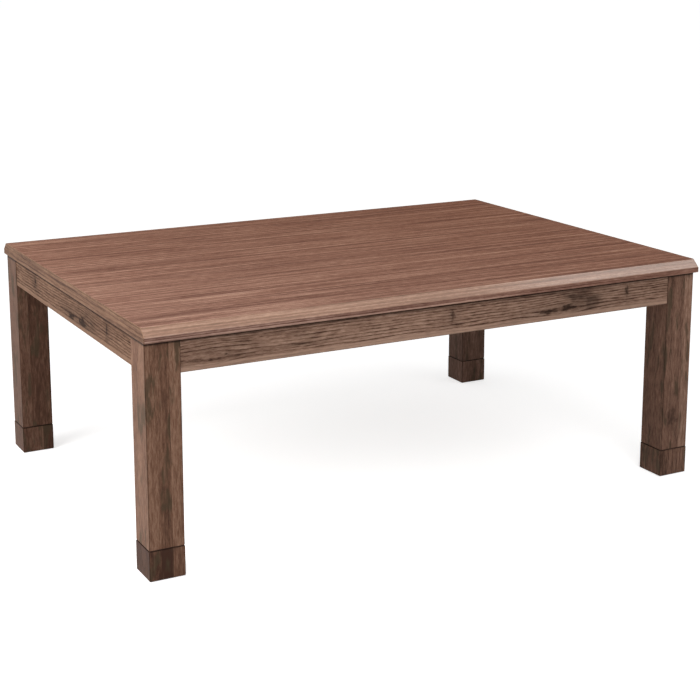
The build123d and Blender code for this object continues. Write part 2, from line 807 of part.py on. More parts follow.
with BuildPart() as inlet_pins:
    with BuildSketch(Plane.YZ.offset(case_inner - inlet_inside)):
        with Locations((0, inlet_z)):
            with GridLocations(inlet_pin_pitch, 1, 2, 1):
                small_circle(inlet_pin_radius)
    extrude(amount=inlet_inside + case_sheet + inlet_floor + inlet_pin_reach)
    chamfer(inlet_pins.faces().group_by(Axis.X)[-1].edges(), pin_tip)
inlet_pins.part.label = "inlet_pins"
export_step(inlet_pins.part, "parts/inlet_pins.step")

# ---------------------------------------------------------------- guard

guard_low = case_bottom - guard_depth

# The rim: a pressed ring, with a flange under the case's lip and a lip for the wires
with BuildPart() as guard_rim:
    with BuildSketch(Plane.XY.offset(case_bottom)):
        RectangleRounded(case_width, case_width, case_corner)
        RectangleRounded(2 * guard_inner, 2 * guard_inner, case_corner, mode=Mode.SUBTRACT)
    extrude(amount=-guard_sheet)
    with BuildSketch(Plane.XY.offset(guard_low)):
        wall_width = 2 * (guard_inner + guard_sheet)
        RectangleRounded(wall_width, wall_width, case_corner + guard_sheet)
        RectangleRounded(2 * guard_inner, 2 * guard_inner, case_corner, mode=Mode.SUBTRACT)
    extrude(amount=guard_depth)
    with BuildSketch(Plane.XY.offset(guard_low)):
        RectangleRounded(2 * guard_inner, 2 * guard_inner, case_corner)
        lip_inner = 2 * (guard_inner - guard_lip)
        RectangleRounded(lip_inner, lip_inner, case_corner - guard_sheet, mode=Mode.SUBTRACT)
    extrude(amount=guard_sheet)
    with BuildSketch(Plane.XY.offset(case_bottom)):
        with GridLocations(2 * guard_screw_x, 2 * guard_screw_y, 2, 2):
            small_circle(guard_screw_shank + fit_room)
    extrude(amount=-guard_sheet, mode=Mode.SUBTRACT)
guard_rim.part.label = "guard_rim"
export_step(guard_rim.part, "parts/guard_rim.step")

# The grille: parallel wires on the rim's lip, and the cross wires welded over them
wire_reach = guard_inner - wire_end_room
wire_count = int(2 * (guard_inner - guard_lip) // wire_pitch) - 1
half_side = 180 / wire_sides
with BuildPart() as guard_wires:
    with BuildSketch(Plane.YZ.offset(-wire_reach)):
        with Locations((0, guard_wire_z)):
            with GridLocations(wire_pitch, 1, wire_count, 1):
                RegularPolygon(grille_wire_radius, wire_sides, major_radius=False, rotation=half_side)
    extrude(amount=2 * wire_reach)
guard_wires.part.label = "guard_wires"
export_step(guard_wires.part, "parts/guard_wires.step")

with BuildPart() as guard_cross_wires:
    with BuildSketch(Plane.XZ.offset(-wire_reach)):
        with Locations((0, guard_wire_z + 2 * grille_wire_radius)):
            with GridLocations(cross_wire_pitch, 1, 3, 1):
                RegularPolygon(grille_wire_radius, wire_sides, major_radius=False, rotation=half_side)
    extrude(amount=2 * wire_reach)
guard_cross_wires.part.label = "guard_cross_wires"
export_step(guard_cross_wires.part, "parts/guard_cross_wires.step")

# The screws that hold the rim up to the case's lip
guard_screw = make_screw(
    guard_screw_head_radius, guard_screw_head_height, guard_screw_shank, guard_screw_length
)
with BuildPart() as guard_screws:
    with Locations(Plane((0, 0, case_bottom - guard_sheet), x_dir=(1, 0, 0), z_dir=(0, 0, -1))):
        with GridLocations(2 * guard_screw_x, 2 * guard_screw_y, 2, 2):
            add(guard_screw)
guard_screws.part.label = "guard_screws"
export_step(guard_screws.part, "parts/guard_screws.step")
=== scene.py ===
import math
from functools import partial

import bmesh
import bpy
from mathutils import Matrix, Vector


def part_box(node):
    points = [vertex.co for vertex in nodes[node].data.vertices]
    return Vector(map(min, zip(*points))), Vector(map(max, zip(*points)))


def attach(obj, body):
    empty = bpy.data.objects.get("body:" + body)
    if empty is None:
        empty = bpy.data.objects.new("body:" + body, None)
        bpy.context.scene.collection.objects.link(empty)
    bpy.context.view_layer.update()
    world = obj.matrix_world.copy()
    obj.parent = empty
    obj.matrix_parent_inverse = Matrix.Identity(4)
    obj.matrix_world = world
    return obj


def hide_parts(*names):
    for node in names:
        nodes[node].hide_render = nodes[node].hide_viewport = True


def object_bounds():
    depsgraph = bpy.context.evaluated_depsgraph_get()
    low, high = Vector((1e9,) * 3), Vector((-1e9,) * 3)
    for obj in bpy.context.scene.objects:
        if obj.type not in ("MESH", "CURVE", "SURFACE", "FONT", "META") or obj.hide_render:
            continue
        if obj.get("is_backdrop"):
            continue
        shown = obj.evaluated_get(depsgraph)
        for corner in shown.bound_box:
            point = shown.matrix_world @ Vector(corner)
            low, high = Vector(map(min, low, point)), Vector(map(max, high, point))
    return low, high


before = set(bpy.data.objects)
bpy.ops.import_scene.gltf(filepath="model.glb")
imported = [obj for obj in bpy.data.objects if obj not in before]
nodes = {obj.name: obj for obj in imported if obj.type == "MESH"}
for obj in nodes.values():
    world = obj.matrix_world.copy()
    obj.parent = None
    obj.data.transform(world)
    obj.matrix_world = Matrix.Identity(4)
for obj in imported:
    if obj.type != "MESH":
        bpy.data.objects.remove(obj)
cad_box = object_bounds()
scene = bpy.context.scene


# -------------------------------- studio
# A pale seamless floor under a plain white surround. One broad soft lamp stands near on the left, one
# in front, and a strip hangs over the right end, where the front bevel mirrors it.
def aim(thing, place, target):
    """Puts a camera or a lamp at a place and turns it to look at a target."""
    thing.location = place
    thing.rotation_mode = "QUATERNION"
    thing.rotation_quaternion = (Vector(target) - Vector(place)).to_track_quat("-Z", "Y")


def added(name, data):
    """A new object in the scene."""
    thing = bpy.data.objects.new(name, data)
    scene.collection.objects.link(thing)
    return thing


def feed(tree, sockets, values):
    """Links each input to the socket given for it, or sets it to the plain value."""
    for name, value in values.items():
        if isinstance(value, bpy.types.NodeSocket):
            tree.links.new(value, sockets[name])
        else:
            sockets[name].default_value = value


def add_node(tree, kind, values=None, **settings):
    """A node with its settings made and its inputs fed."""
    node = tree.nodes.new(kind)
    for name, value in settings.items():
        setattr(node, name, value)
    feed(tree, node.inputs, values or {})
    return node


def result(tree, kind, values=None, **settings):
    """The first output of a new node."""
    return add_node(tree, kind, values, **settings).outputs[0]


def math_node(tree, operation, *values):
    """The result of one Math node."""
    return result(tree, "ShaderNodeMath", dict(enumerate(values)), operation=operation)


def ramp(tree, value, low, high, to_low=0.0, to_high=1.0):
    """A value stretched from one range to another, and held at its ends."""
    return result(tree, "ShaderNodeMapRange", {0: value, 1: low, 2: high, 3: to_low, 4: to_high})


def axes_of(tree, vector):
    """A vector's X, Y and Z."""
    return add_node(tree, "ShaderNodeSeparateXYZ", {0: vector}).outputs


azimuth, elevation = math.radians(-28.13), math.radians(11.38)
camera_place = Vector((-1.2684, -2.4072, 0.9584))
look = Vector((
    -math.sin(azimuth) * math.cos(elevation), math.cos(azimuth) * math.cos(elevation), -math.sin(elevation),
))
sensor_width, picture_width, focal_length_in_pixels = 36, 700, 1509.2
camera_data = bpy.data.cameras.new("camera")
camera_data.lens = sensor_width * focal_length_in_pixels / picture_width
camera_data.shift_y = -0.15
scene.camera = added("camera", camera_data)
aim(scene.camera, camera_place, camera_place + look)
scene.view_settings.view_transform = "Standard"

for name, place, target, size, watts in (
    ("left_softbox", (-1.55, -0.15, 1.05), (-0.4, -0.05, 0.25), (1.0, 1.0), 18.5),
    ("front_softbox", (-0.2, -1.9, 1.6), (0.0, -0.3, 0.3), (1.2, 1.2), 18.0),
    ("right_strip", (1.48, -0.62, 1.6), (1.48, -0.62, 0.0), (1.05, 0.3), 2.5),
):
    lamp = bpy.data.lights.new(name, "AREA")
    lamp.shape = "RECTANGLE"
    lamp.size, lamp.size_y = size
    lamp.energy = watts
    aim(added(name, lamp), place, target)

surround = bpy.data.worlds.new("surround")
surround.use_nodes = True
scene.world = surround
tree = surround.node_tree
tree.nodes.clear()
path = add_node(tree, "ShaderNodeLightPath").outputs
facing = axes_of(tree, add_node(tree, "ShaderNodeTexCoord").outputs["Generated"])
mirrored = ramp(tree, facing["Z"], 0.1, 0.6, 0.36, 0.9)
lighting = ramp(tree, facing["X"], -1.0, 1.0, 0.58, 0.29)
bounced = result(tree, "ShaderNodeMix", {0: path["Is Glossy Ray"], 2: lighting, 3: mirrored})
straight = math_node(tree, "MAXIMUM", path["Is Camera Ray"], path["Is Transmission Ray"])
level = result(tree, "ShaderNodeMix", {0: straight, 2: bounced, 3: 1.0})
white = add_node(tree, "ShaderNodeBackground", {"Color": (1, 1, 1, 1), "Strength": level})
add_node(tree, "ShaderNodeOutputWorld", {"Surface": white.outputs[0]})

floor_reach = 40.0
floor_corners = [(x * floor_reach, y * floor_reach, 0) for x, y in ((-1, -1), (1, -1), (1, 1), (-1, 1))]
floor_mesh = bpy.data.meshes.new("floor")
floor_mesh.from_pydata(floor_corners, [], [(0, 1, 2, 3)])
floor_paint = bpy.data.materials.new("floor_paint")
floor_paint.use_nodes = True
tree = floor_paint.node_tree
tree.nodes.clear()
path = add_node(tree, "ShaderNodeLightPath").outputs
seen = math_node(tree, "ADD", path["Is Camera Ray"], path["Is Glossy Ray"])
glow = add_node(tree, "ShaderNodeEmission", {"Strength": math_node(tree, "MULTIPLY", seen, 0.66)})
matt = add_node(tree, "ShaderNodeBsdfDiffuse", {"Color": (0.8, 0.8, 0.8, 1)})
both = add_node(tree, "ShaderNodeAddShader", {0: matt.outputs[0], 1: glow.outputs[0]})
add_node(tree, "ShaderNodeOutputMaterial", {"Surface": both.outputs[0]})
floor_mesh.materials.append(floor_paint)
floor = added("floor", floor_mesh)
floor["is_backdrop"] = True


# -------------------------------- tabletop
# A 22 mm particle board core in a satin walnut sheet that wraps over both bevelled long edges,
# a balancing sheet under it and an edge tape glued on each short end. It lies loose on the frame.
def srgb(*levels):
    """Linear colour of an ordinary 0 to 255 one."""
    shares = [level / 255 for level in levels]
    return [*(((s + 0.055) / 1.055) ** 2.4 if s > 0.04 else s / 12.92 for s in shares), 1.0]


def toned(colour, factor):
    """A colour made darker or lighter."""
    return [*(min(1.0, c * factor) for c in colour[:3]), 1.0]


def new_material(name):
    """A material, its tree, its shader's inputs and the places that its textures start from."""
    material = bpy.data.materials.new(name)
    material.use_nodes = True
    tree = material.node_tree
    return material, tree, tree.nodes["Principled BSDF"].inputs, add_node(tree, "ShaderNodeTexCoord").outputs


def new_group(name, inputs, outputs, kind="ShaderNodeTree"):
    """An empty node group with its sockets, and its input and output nodes' sockets."""
    group = bpy.data.node_groups.new(name, kind)
    for in_out, sockets in (("INPUT", inputs), ("OUTPUT", outputs)):
        for socket, carries in sockets:
            group.interface.new_socket(name=socket, in_out=in_out, socket_type=f"NodeSocket{carries}")
    return group, add_node(group, "NodeGroupInput").outputs, add_node(group, "NodeGroupOutput").inputs


def floats(*names):
    """Number sockets of a node group."""
    return [(name, "Float") for name in names]


def vector_node(tree, operation, *values):
    """The result of one Vector Math node."""
    return result(tree, "ShaderNodeVectorMath", dict(enumerate(values)), operation=operation)


def scaled(tree, vector, factor):
    """A vector times a number."""
    return result(tree, "ShaderNodeVectorMath", {0: vector, "Scale": factor}, operation="SCALE")


def length_of(tree, vector):
    """How long a vector is."""
    return add_node(tree, "ShaderNodeVectorMath", {0: vector}, operation="LENGTH").outputs["Value"]


def blend_colours(tree, factor, under, over):
    """One colour laid over another by a factor."""
    return add_node(tree, "ShaderNodeMix", {0: factor, 6: under, 7: over}, data_type="RGBA").outputs[2]


def bump(tree, height, relief):
    """The normal of a surface with a height that runs over it."""
    return result(tree, "ShaderNodeBump", {"Height": height, "Distance": relief})


def drawn_noise(tree, source, seed, along, scale, detail, crispness=0.55):
    """Noise drawn out along X, as wood fibres are."""
    drawn = vector_node(tree, "MULTIPLY", source, (1 / along, 1.0, 1.0))
    settings = {"Vector": drawn, "W": seed, "Scale": scale, "Detail": detail, "Roughness": crispness}
    return result(tree, "ShaderNodeTexNoise", settings, noise_dimensions="4D")


def wood_figure_group():
    """The figure of a board whose grain runs along X, with rings round the tree's pith, as masks."""
    group, given, put = new_group(
        "wood_figure",
        [("Vector", "Vector"), ("Pith", "Vector"), *floats(
            "Ring Width", "Waviness", "Wave Length", "Band Width", "Streak Width", "Streak Length", "Seed",
        )],
        floats("Rings", "Bands", "Streaks", "Light Lines", "Patches", "Grain", "Pores"),
    )
    calc, vector = partial(math_node, group), partial(vector_node, group)
    place, seed = given["Vector"], given["Seed"]
    waves = drawn_noise(group, place, seed, 3.0, calc("DIVIDE", 1.0, given["Wave Length"]), 2.0)
    swing = calc("MULTIPLY", calc("SUBTRACT", waves, 0.5), given["Waviness"])
    flowing = vector("ADD", place, result(group, "ShaderNodeCombineXYZ", {"Y": swing, "Z": swing}))

    radius = length_of(group, vector("MULTIPLY", vector("SUBTRACT", place, given["Pith"]), (0.0, 1.0, 1.0)))
    turns = calc("DIVIDE", calc("ADD", radius, swing), given["Ring Width"])
    uneven = calc("MULTIPLY_ADD", drawn_noise(group, flowing, seed, 9.0, 90.0, 2.0), 1.4, turns)
    swell = ramp(group, calc("SINE", calc("MULTIPLY", uneven, math.tau)), 0.1, 0.9)
    strength = ramp(group, drawn_noise(group, flowing, seed, 7.0, 70.0, 2.0), 0.35, 0.62, 0.35, 1.0)
    feed(group, put, {"Rings": calc("MULTIPLY", swell, strength)})

    coarse = calc("DIVIDE", 1.0, given["Band Width"])
    fine = calc("DIVIDE", 1.0, given["Streak Width"])
    narrow = calc("DIVIDE", 1.0, calc("DIVIDE", given["Streak Length"], given["Streak Width"]))
    squeeze = result(group, "ShaderNodeCombineXYZ", {"X": narrow, "Y": 1.0, "Z": 1.0})
    fibres = vector("MULTIPLY", flowing, squeeze)
    for mask, source, along, scale, detail, crispness, low, high in (
        ("Bands", flowing, 14.0, coarse, 3.0, 0.55, 0.3, 0.7),
        ("Streaks", fibres, 1.0, fine, 5.0, 0.72, 0.33, 0.67),
        ("Light Lines", fibres, 1.0, calc("MULTIPLY", fine, 0.45), 4.0, 0.55, 0.56, 0.72),
        ("Patches", flowing, 4.0, 52.0, 3.0, 0.55, 0.56, 0.62),
        ("Grain", flowing, 6.0, 330.0, 4.0, 0.75, 0.36, 0.64),
        ("Pores", flowing, 12.0, 1300.0, 1.0, 0.55, 0.56, 0.7),
    ):
        noise = drawn_noise(group, source, seed, along, scale, detail, crispness)
        feed(group, put, {mask: ramp(group, noise, low, high)})
    return group


def arris_group():
    """Finds the small chamfers of squared timber by their slant: on upright, on level and on upper edges."""
    group, given, put = new_group("arris", [("Normal", "Vector")], floats("Upright", "Level", "Upper"))
    calc = partial(math_node, group)
    size = axes_of(group, vector_node(group, "ABSOLUTE", given["Normal"]))
    level = calc("MINIMUM", calc("MAXIMUM", size["X"], size["Y"]), size["Z"])
    slants = {
        "Upright": calc("MINIMUM", size["X"], size["Y"]),
        "Level": level,
        "Upper": calc("MINIMUM", level, axes_of(group, given["Normal"])["Z"]),
    }
    feed(group, put, {edge: ramp(group, slant, 0.3, 0.6) for edge, slant in slants.items()})
    return group


def knot_group():
    """A knot: the grain parts round it, and its ragged heart and the wood beside it are darker."""
    group, given, put = new_group(
        "knot_flow",
        [("Vector", "Vector"), ("Centre", "Vector"), ("Size", "Vector"), *floats("Parting", "Strength")],
        [("Vector", "Vector"), ("Shade", "Float")],
    )
    calc, vector = partial(math_node, group), partial(vector_node, group)
    away = vector("SUBTRACT", given["Vector"], given["Centre"])
    in_sizes = vector("DIVIDE", away, given["Size"])
    falling = calc("MULTIPLY", calc("POWER", length_of(group, in_sizes), 2.0), -0.22)
    pull = calc("MULTIPLY", calc("MULTIPLY", calc("EXPONENT", falling), given["Parting"]), -1.0)
    across = vector("MULTIPLY", scaled(group, away, pull), (0.0, 0.0, 1.0))

    own_place = vector("MULTIPLY_ADD", given["Centre"], (40.0, 40.0, 40.0), in_sizes)
    rough = {"Vector": own_place, "Scale": 1.6, "Detail": 4.0}
    ragged = add_node(group, "ShaderNodeTexNoise", rough).outputs["Color"]
    off_centre = vector("SUBTRACT", ragged, (0.5, 0.5, 0.5))
    distance = length_of(group, vector("MULTIPLY_ADD", off_centre, (1.9, 1.9, 1.9), in_sizes))
    heart = ramp(group, distance, 1.25, 0.35)
    halo = calc("MULTIPLY", calc("EXPONENT", calc("MULTIPLY", distance, -0.55)), 0.55)
    feed(group, put, {
        "Vector": vector("ADD", given["Vector"], across),
        "Shade": calc("MULTIPLY", calc("MAXIMUM", heart, halo), given["Strength"]),
    })
    return group


wood_figure, arris, knot_flow = wood_figure_group(), arris_group(), knot_group()


def wood(
    name, tones, seed, turn=(0, 0, 0), pith=(0, -3.0, 0), rings=0.0045, wave=(0.006, 0.3), bands=0.03,
    streaks=(0.0016, 0.05), weights=(0.3, 0.4, 0.3, 0.2), lights=0.0, pores=0.3, patches=(0.0, (0, 0, 0, 1)),
    gloss=0.2, roughness=0.5, knots=(), strips=None, edges=(0.0, 0.0, 0.0), relief=0.00006,
):
    """Finished wood. Its weights share its tones, dark to light, among rings, bands, streaks and grain."""
    material, tree, shader, places = new_material(name)
    calc = partial(math_node, tree)
    board = result(tree, "ShaderNodeMapping", {"Vector": places["Object"], "Rotation": turn})
    shade = 0.0
    for centre, size, parting, strength in knots:
        settings = {"Vector": board, "Centre": centre, "Size": size, "Parting": parting, "Strength": strength}
        knot = add_node(tree, "ShaderNodeGroup", settings, node_tree=knot_flow).outputs
        board = knot["Vector"]
        shade = calc("MAXIMUM", shade, knot["Shade"])
    strip_tone = 0.0
    if strips:
        axis, width, start, strip_tones = strips
        along = axes_of(tree, places["Object"])[axis]
        count = calc("FLOOR", calc("DIVIDE", calc("SUBTRACT", along, start), width))
        seed = calc("ADD", count, seed)
        chance = add_node(tree, "ShaderNodeTexWhiteNoise", {"W": seed}, noise_dimensions="1D").outputs["Color"]
        board = vector_node(tree, "ADD", board, scaled(tree, chance, 0.04))
        strip_tone = strip_tones[0]
        for joint, (before, after) in enumerate(zip(strip_tones, strip_tones[1:])):
            past_joint = calc("GREATER_THAN", count, joint + 0.5)
            strip_tone = calc("MULTIPLY_ADD", past_joint, after - before, strip_tone)
    masks = add_node(tree, "ShaderNodeGroup", {
        "Vector": board, "Pith": pith, "Ring Width": rings, "Waviness": wave[0], "Wave Length": wave[1],
        "Band Width": bands, "Streak Width": streaks[0], "Streak Length": streaks[1], "Seed": seed,
    }, node_tree=wood_figure).outputs

    tone = calc("ADD", strip_tone, 0.5)
    means = {"Rings": 0.25, "Bands": 0.5, "Streaks": 0.5, "Grain": 0.5}
    for (mask, mean), weight in zip(means.items(), (-weights[0], *weights[1:])):
        tone = calc("MULTIPLY_ADD", calc("SUBTRACT", masks[mask], mean), weight, tone)
    dark, middle, light = tones
    stock = add_node(tree, "ShaderNodeValToRGB", {0: tone})
    stops = stock.color_ramp.elements
    stops[0].position, stops[0].color = 0.15, dark
    stops[1].position, stops[1].color = 0.85, light
    stops.new(0.5).color = middle

    colour = stock.outputs[0]
    slant = add_node(tree, "ShaderNodeGroup", {"Normal": places["Normal"]}, node_tree=arris).outputs
    # The second of the edges darkens level chamfers as painted shade, in the groove between leg and foot and
    # along the aprons' lower edges. The third lightens upper chamfers as a painted highlight.
    stained, level_edge_shade, top_chamfer_highlight = edges
    heart, edge_stain_and_shade = toned(dark, 0.35), toned(dark, 0.3)
    for mask, amount, over in (
        (masks["Patches"], patches[0], patches[1]), (masks["Light Lines"], lights, light),
        (calc("MINIMUM", shade, 0.9), 1.0, heart), (masks["Pores"], pores, dark),
        (slant["Upright"], stained, edge_stain_and_shade), (slant["Level"], level_edge_shade, edge_stain_and_shade),
        (slant["Upper"], top_chamfer_highlight, toned(light, 1.35)),
    ):
        colour = blend_colours(tree, calc("MULTIPLY", mask, amount), colour, over)
    feed(tree, shader, {
        "Base Color": colour,
        "Roughness": ramp(tree, masks["Streaks"], 0.0, 1.0, roughness - 0.05, roughness + 0.08),
        "Normal": bump(tree, calc("SUBTRACT", masks["Streaks"], masks["Pores"]), relief),
        "Specular IOR Level": gloss,
    })
    return material


def dress(material, *names):
    """Gives CAD nodes a material in place of the plain one."""
    for name in names:
        for slot in nodes[name].material_slots:
            slot.material = material


walnut_tones = (srgb(78, 46, 36), srgb(134, 94, 78), srgb(187, 148, 127))
walnut_face = wood(
    "walnut_face", walnut_tones, seed=3.0, rings=0.008, wave=(0.008, 1.1), bands=0.012, streaks=(0.003, 0.8),
    weights=(0.08, 0.24, 0.7, 0.25), lights=0.4, pores=0.2, gloss=0.04, roughness=0.6, relief=0.00002,
)
tree = walnut_face.node_tree
shader = tree.nodes["Principled BSDF"].inputs
stock, dull = (shader[name].links[0].from_socket for name in ("Base Color", "Roughness"))
place = add_node(tree, "ShaderNodeTexCoord").outputs["Object"]
slab = axes_of(tree, place)
# Painted sheen: the sheet is less saturated towards the near left and more towards the far right, standing in
# for the sheen that whitens the near end.
painted_sheen_falloff = ramp(tree, math_node(tree, "ADD", slab["X"], slab["Y"]), -0.8, 0.8, 0.97, 1.15)
flat_colour = result(tree, "ShaderNodeHueSaturation", {"Saturation": painted_sheen_falloff, "Color": stock})

slab_top, bevel_height, bevel_depth = 0.4, 0.013, 0.0138
bevel_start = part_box("top_face_sheet")[1][1] - bevel_depth
bevel_foot = slab_top - bevel_height
on_bevel = ramp(tree, math_node(tree, "ABSOLUTE", slab["Y"]), bevel_start - 0.0004, bevel_start + 0.0004)
under_bevel = ramp(tree, slab["Z"], bevel_foot + 0.0002, bevel_foot - 0.0006)
fibre_value = ramp(tree, drawn_noise(tree, place, 9.0, 4.0, 700.0, 2.0, 0.7), 0.35, 0.65, 0.92, 1.22)
paler = result(tree, "ShaderNodeHueSaturation", {"Value": fibre_value, "Color": stock})
paler = blend_colours(tree, 0.35, paler, srgb(168, 134, 106))
# Painted shade: the upright band under the bevel, of the same sheet, is made darker and duller for the shade
# that falls on it.
band_painted_shade = result(tree, "ShaderNodeHueSaturation", {"Saturation": 0.88, "Value": 0.94, "Color": flat_colour})
edge_colour = blend_colours(tree, under_bevel, paler, band_painted_shade)
feed(tree, shader, {
    "Base Color": blend_colours(tree, on_bevel, flat_colour, edge_colour),
    "Roughness": math_node(tree, "MULTIPLY_ADD", on_bevel, -0.15, dull),
    "Coat Weight": math_node(tree, "MULTIPLY", on_bevel, math_node(tree, "SUBTRACT", 1.0, under_bevel)),
    "Coat Roughness": 0.24,
    "Coat IOR": 1.6,
})
dress(walnut_face, "top_face_sheet")

edge_tones = (srgb(70, 47, 36), srgb(108, 80, 63), srgb(140, 109, 88))
# The upper chamfers of the edge tape get a painted highlight.
walnut_edge = wood(
    "walnut_edge", edge_tones, seed=8.0, turn=(0, 0, -math.pi / 2), pith=(0, 0.3, 0.25), rings=0.004,
    wave=(0.003, 0.6), bands=0.006, streaks=(0.0016, 0.3), weights=(0.3, 0.3, 0.4, 0.25), gloss=0.06,
    roughness=0.55, edges=(0.0, 0.0, 0.85),
)
dress(walnut_edge, "top_edge_tape_left", "top_edge_tape_right")
backing_tones = (srgb(104, 80, 62), srgb(122, 96, 76), srgb(138, 112, 90))
backing = wood(
    "backing_sheet", backing_tones, seed=5.0, rings=0.02, wave=(0.02, 0.8), bands=0.08, pores=0.1, gloss=0.15,
    roughness=0.6,
)
dress(backing, "top_backing_sheet")

particle_board, tree, shader, places = new_material("particle_board")
curls = {"Vector": places["Object"], "Scale": 240.0, "Detail": 2.0}
tangled = add_node(tree, "ShaderNodeTexNoise", curls).outputs["Color"]
scattered = vector_node(tree, "MULTIPLY_ADD", tangled, (0.006, 0.006, 0.002), places["Object"])
flat_chips = vector_node(tree, "MULTIPLY", scattered, (1.0, 1.0, 2.6))
chips = add_node(tree, "ShaderNodeTexVoronoi", {"Vector": flat_chips, "Scale": 260.0}).outputs
chip_tone = axes_of(tree, chips["Color"])["X"]
feed(tree, shader, {
    "Base Color": blend_colours(tree, chip_tone, srgb(140, 108, 76), srgb(206, 176, 134)),
    "Normal": bump(tree, chips["Distance"], 0.0002),
    "Roughness": 0.85,
})
dress(particle_board, "top_core")


# -------------------------------- legs and feet
# Square legs glued up from three strips of stained softwood, with a seat cut for the corner bracket,
# and 50 mm extension feet of the same wood that screw on under them.
def lay_tone_and_shade(material, start, full, amount, colour):
    """Lays a colour over all but the upper faces, from none at one height to its full amount at another: the
    aprons' pale sapwood, and painted shade under the top.
    """
    tree = material.node_tree
    base = tree.nodes["Principled BSDF"].inputs["Base Color"]
    places = add_node(tree, "ShaderNodeTexCoord").outputs
    by_height = ramp(tree, axes_of(tree, places["Object"])["Z"], start, full, 0.0, amount)
    not_upper = ramp(tree, axes_of(tree, places["Normal"])["Z"], 0.95, 0.8)
    cover = math_node(tree, "MULTIPLY", by_height, not_upper)
    tree.links.new(blend_colours(tree, cover, base.links[0].from_socket, colour), base)


corners = [
    (f"{depth}_{side}", side_x, side_y)
    for depth, side_y in (("front", -1), ("back", 1)) for side, side_x in (("left", -1), ("right", 1))
]
vertical = (0, math.pi / 2, 0)
# Each leg has its own tones, and their differences are partly painted light and shade: the back left leg is
# darker for the shade that the top casts on it.
leg_tones_and_shade = {
    "front_left": (srgb(62, 41, 32), srgb(109, 79, 63), srgb(150, 117, 97)),
    "front_right": (srgb(70, 50, 40), srgb(122, 91, 76), srgb(162, 131, 112)),
    "back_left": (srgb(48, 31, 24), srgb(82, 57, 45), srgb(118, 89, 74)),
    "back_right": (srgb(66, 47, 39), srgb(108, 81, 68), srgb(142, 112, 98)),
}
leg_patches = srgb(68, 57, 43)
leg_strips = {
    "front_left": ((0.03, -0.08, 0.1), (-0.3, -0.62, -0.06)),
    "front_right": ((-0.12, -0.1, 0.12), (-0.22, -0.14, -0.1)),
    "back_left": ((0.16, -0.04, 0.0), (0.1, 0.12, -0.1)),
    "back_right": ((-0.04, 0.06, -0.08), (0.05, -0.1, 0.1)),
}
strips_across = 3
leg_knots = {"leg_front_right": (((0.108, 0, -0.486), (0.021, 1, 0.013), 0.4, 0.75),)}
pith_behind, pith_aside = 0.11, 0.04
frame_top = 0.376
# Painted shade: a dark band along the frame's upper edge, under the loose top, stands in for the shade that
# falls there.
shade_under_top = (frame_top - 0.0045, frame_top - 0.002, 0.85, srgb(26, 17, 13))
for number, (corner, side_x, side_y) in enumerate(corners):
    lowest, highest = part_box(f"leg_{corner}")
    strip = (highest[0] - lowest[0]) / strips_across
    # In the board's own axes, X runs up the leg and Z across it from right to left.
    pith = (0, (lowest[1] + highest[1]) / 2 + pith_behind * side_y, -lowest[0] + pith_aside)
    seeds = (11.0 + 5 * number, 31.0 + 7 * number)
    for part, seed, strip_tones in zip(("leg", "foot"), seeds, leg_strips[corner]):
        timber = wood(
            f"{part}_wood_{corner}", leg_tones_and_shade[corner], seed, turn=vertical, pith=pith, rings=0.0042,
            wave=(0.01, 0.22), bands=0.02, streaks=(0.0015, 0.03), weights=(0.08, 0.18, 0.2, 0.32),
            lights=0.3, pores=0.3, patches=(0.72, leg_patches), gloss=0.05,
            knots=leg_knots.get(f"{part}_{corner}", ()), strips=(0, strip, lowest[0], strip_tones),
            edges=(0.6, 0.75, 0.0),
        )
        # Painted shade: a dark band along the leg's top, under the loose top.
        lay_tone_and_shade(timber, *shade_under_top)
        dress(timber, f"{part}_{corner}")


# -------------------------------- foot studs, inserts and felts
# Each foot has a zinc-plated M8 stud that screws into the threaded insert in the leg above,
# and a needled felt pad let into its sole and glued.
def mesh_from(form, name, smooth):
    """The mesh of a form, with its normals outward and its edges smooth up to an angle."""
    bmesh.ops.recalc_face_normals(form, faces=form.faces)
    mesh = bpy.data.meshes.new(name)
    form.to_mesh(mesh)
    form.free()
    mesh.shade_smooth()
    mesh.set_sharp_from_angle(angle=math.radians(smooth))
    return mesh


def turned(name, profile, steps, smooth=30):
    """A mesh turned about Z. profile gives the radius and height points of the section at an angle."""
    form = bmesh.new()
    sections = []
    for step in range(steps):
        angle = math.tau * step / steps
        x, y = math.cos(angle), math.sin(angle)
        sections.append([form.verts.new((radius * x, radius * y, z)) for radius, z in profile(angle)])
    for near, far in zip(sections, sections[1:] + sections[:1]):
        for low_near, high_near, low_far, high_far in zip(near, near[1:], far, far[1:]):
            form.faces.new((low_near, low_far, high_far, high_near))
    bmesh.ops.remove_doubles(form, verts=form.verts, dist=1e-7)
    return mesh_from(form, name, smooth)


def section_mm(*points):
    """A section that is the same all round, from its points in millimetres."""
    return lambda angle: [(radius / 1000, level / 1000) for radius, level in points]


def threaded(low, high, radius, pitch, depth, rows=6):
    """Section points of a vee thread from a low to a high level: its ridge climbs a pitch in each turn."""
    count = round((high - low) / pitch * rows)
    levels = [low + (high - low) * row / count for row in range(count + 1)]

    def section(angle):
        return [(radius - depth * abs(2 * ((z / pitch - angle / math.tau) % 1.0) - 1), z) for z in levels]

    return section


def threaded_rod(name, length):
    """An M8 rod standing on its end and threaded all along, between two small chamfers."""
    core, chamfer = 0.0033, 0.0006
    thread = threaded(chamfer, length - chamfer, radius=0.004, pitch=0.00125, depth=0.0007)
    return turned(name, lambda angle: [(0, 0), (core, 0), *thread(angle), (core, length), (0, length)], 24, 40)


def new_shaper(name, *inputs):
    """An empty geometry tree that takes points, its own inputs and a material, and gives a shape."""
    geometry = [("Geometry", "Geometry")]
    return new_group(name, [*geometry, *inputs, ("Finish", "Material")], geometry, kind="GeometryNodeTree")


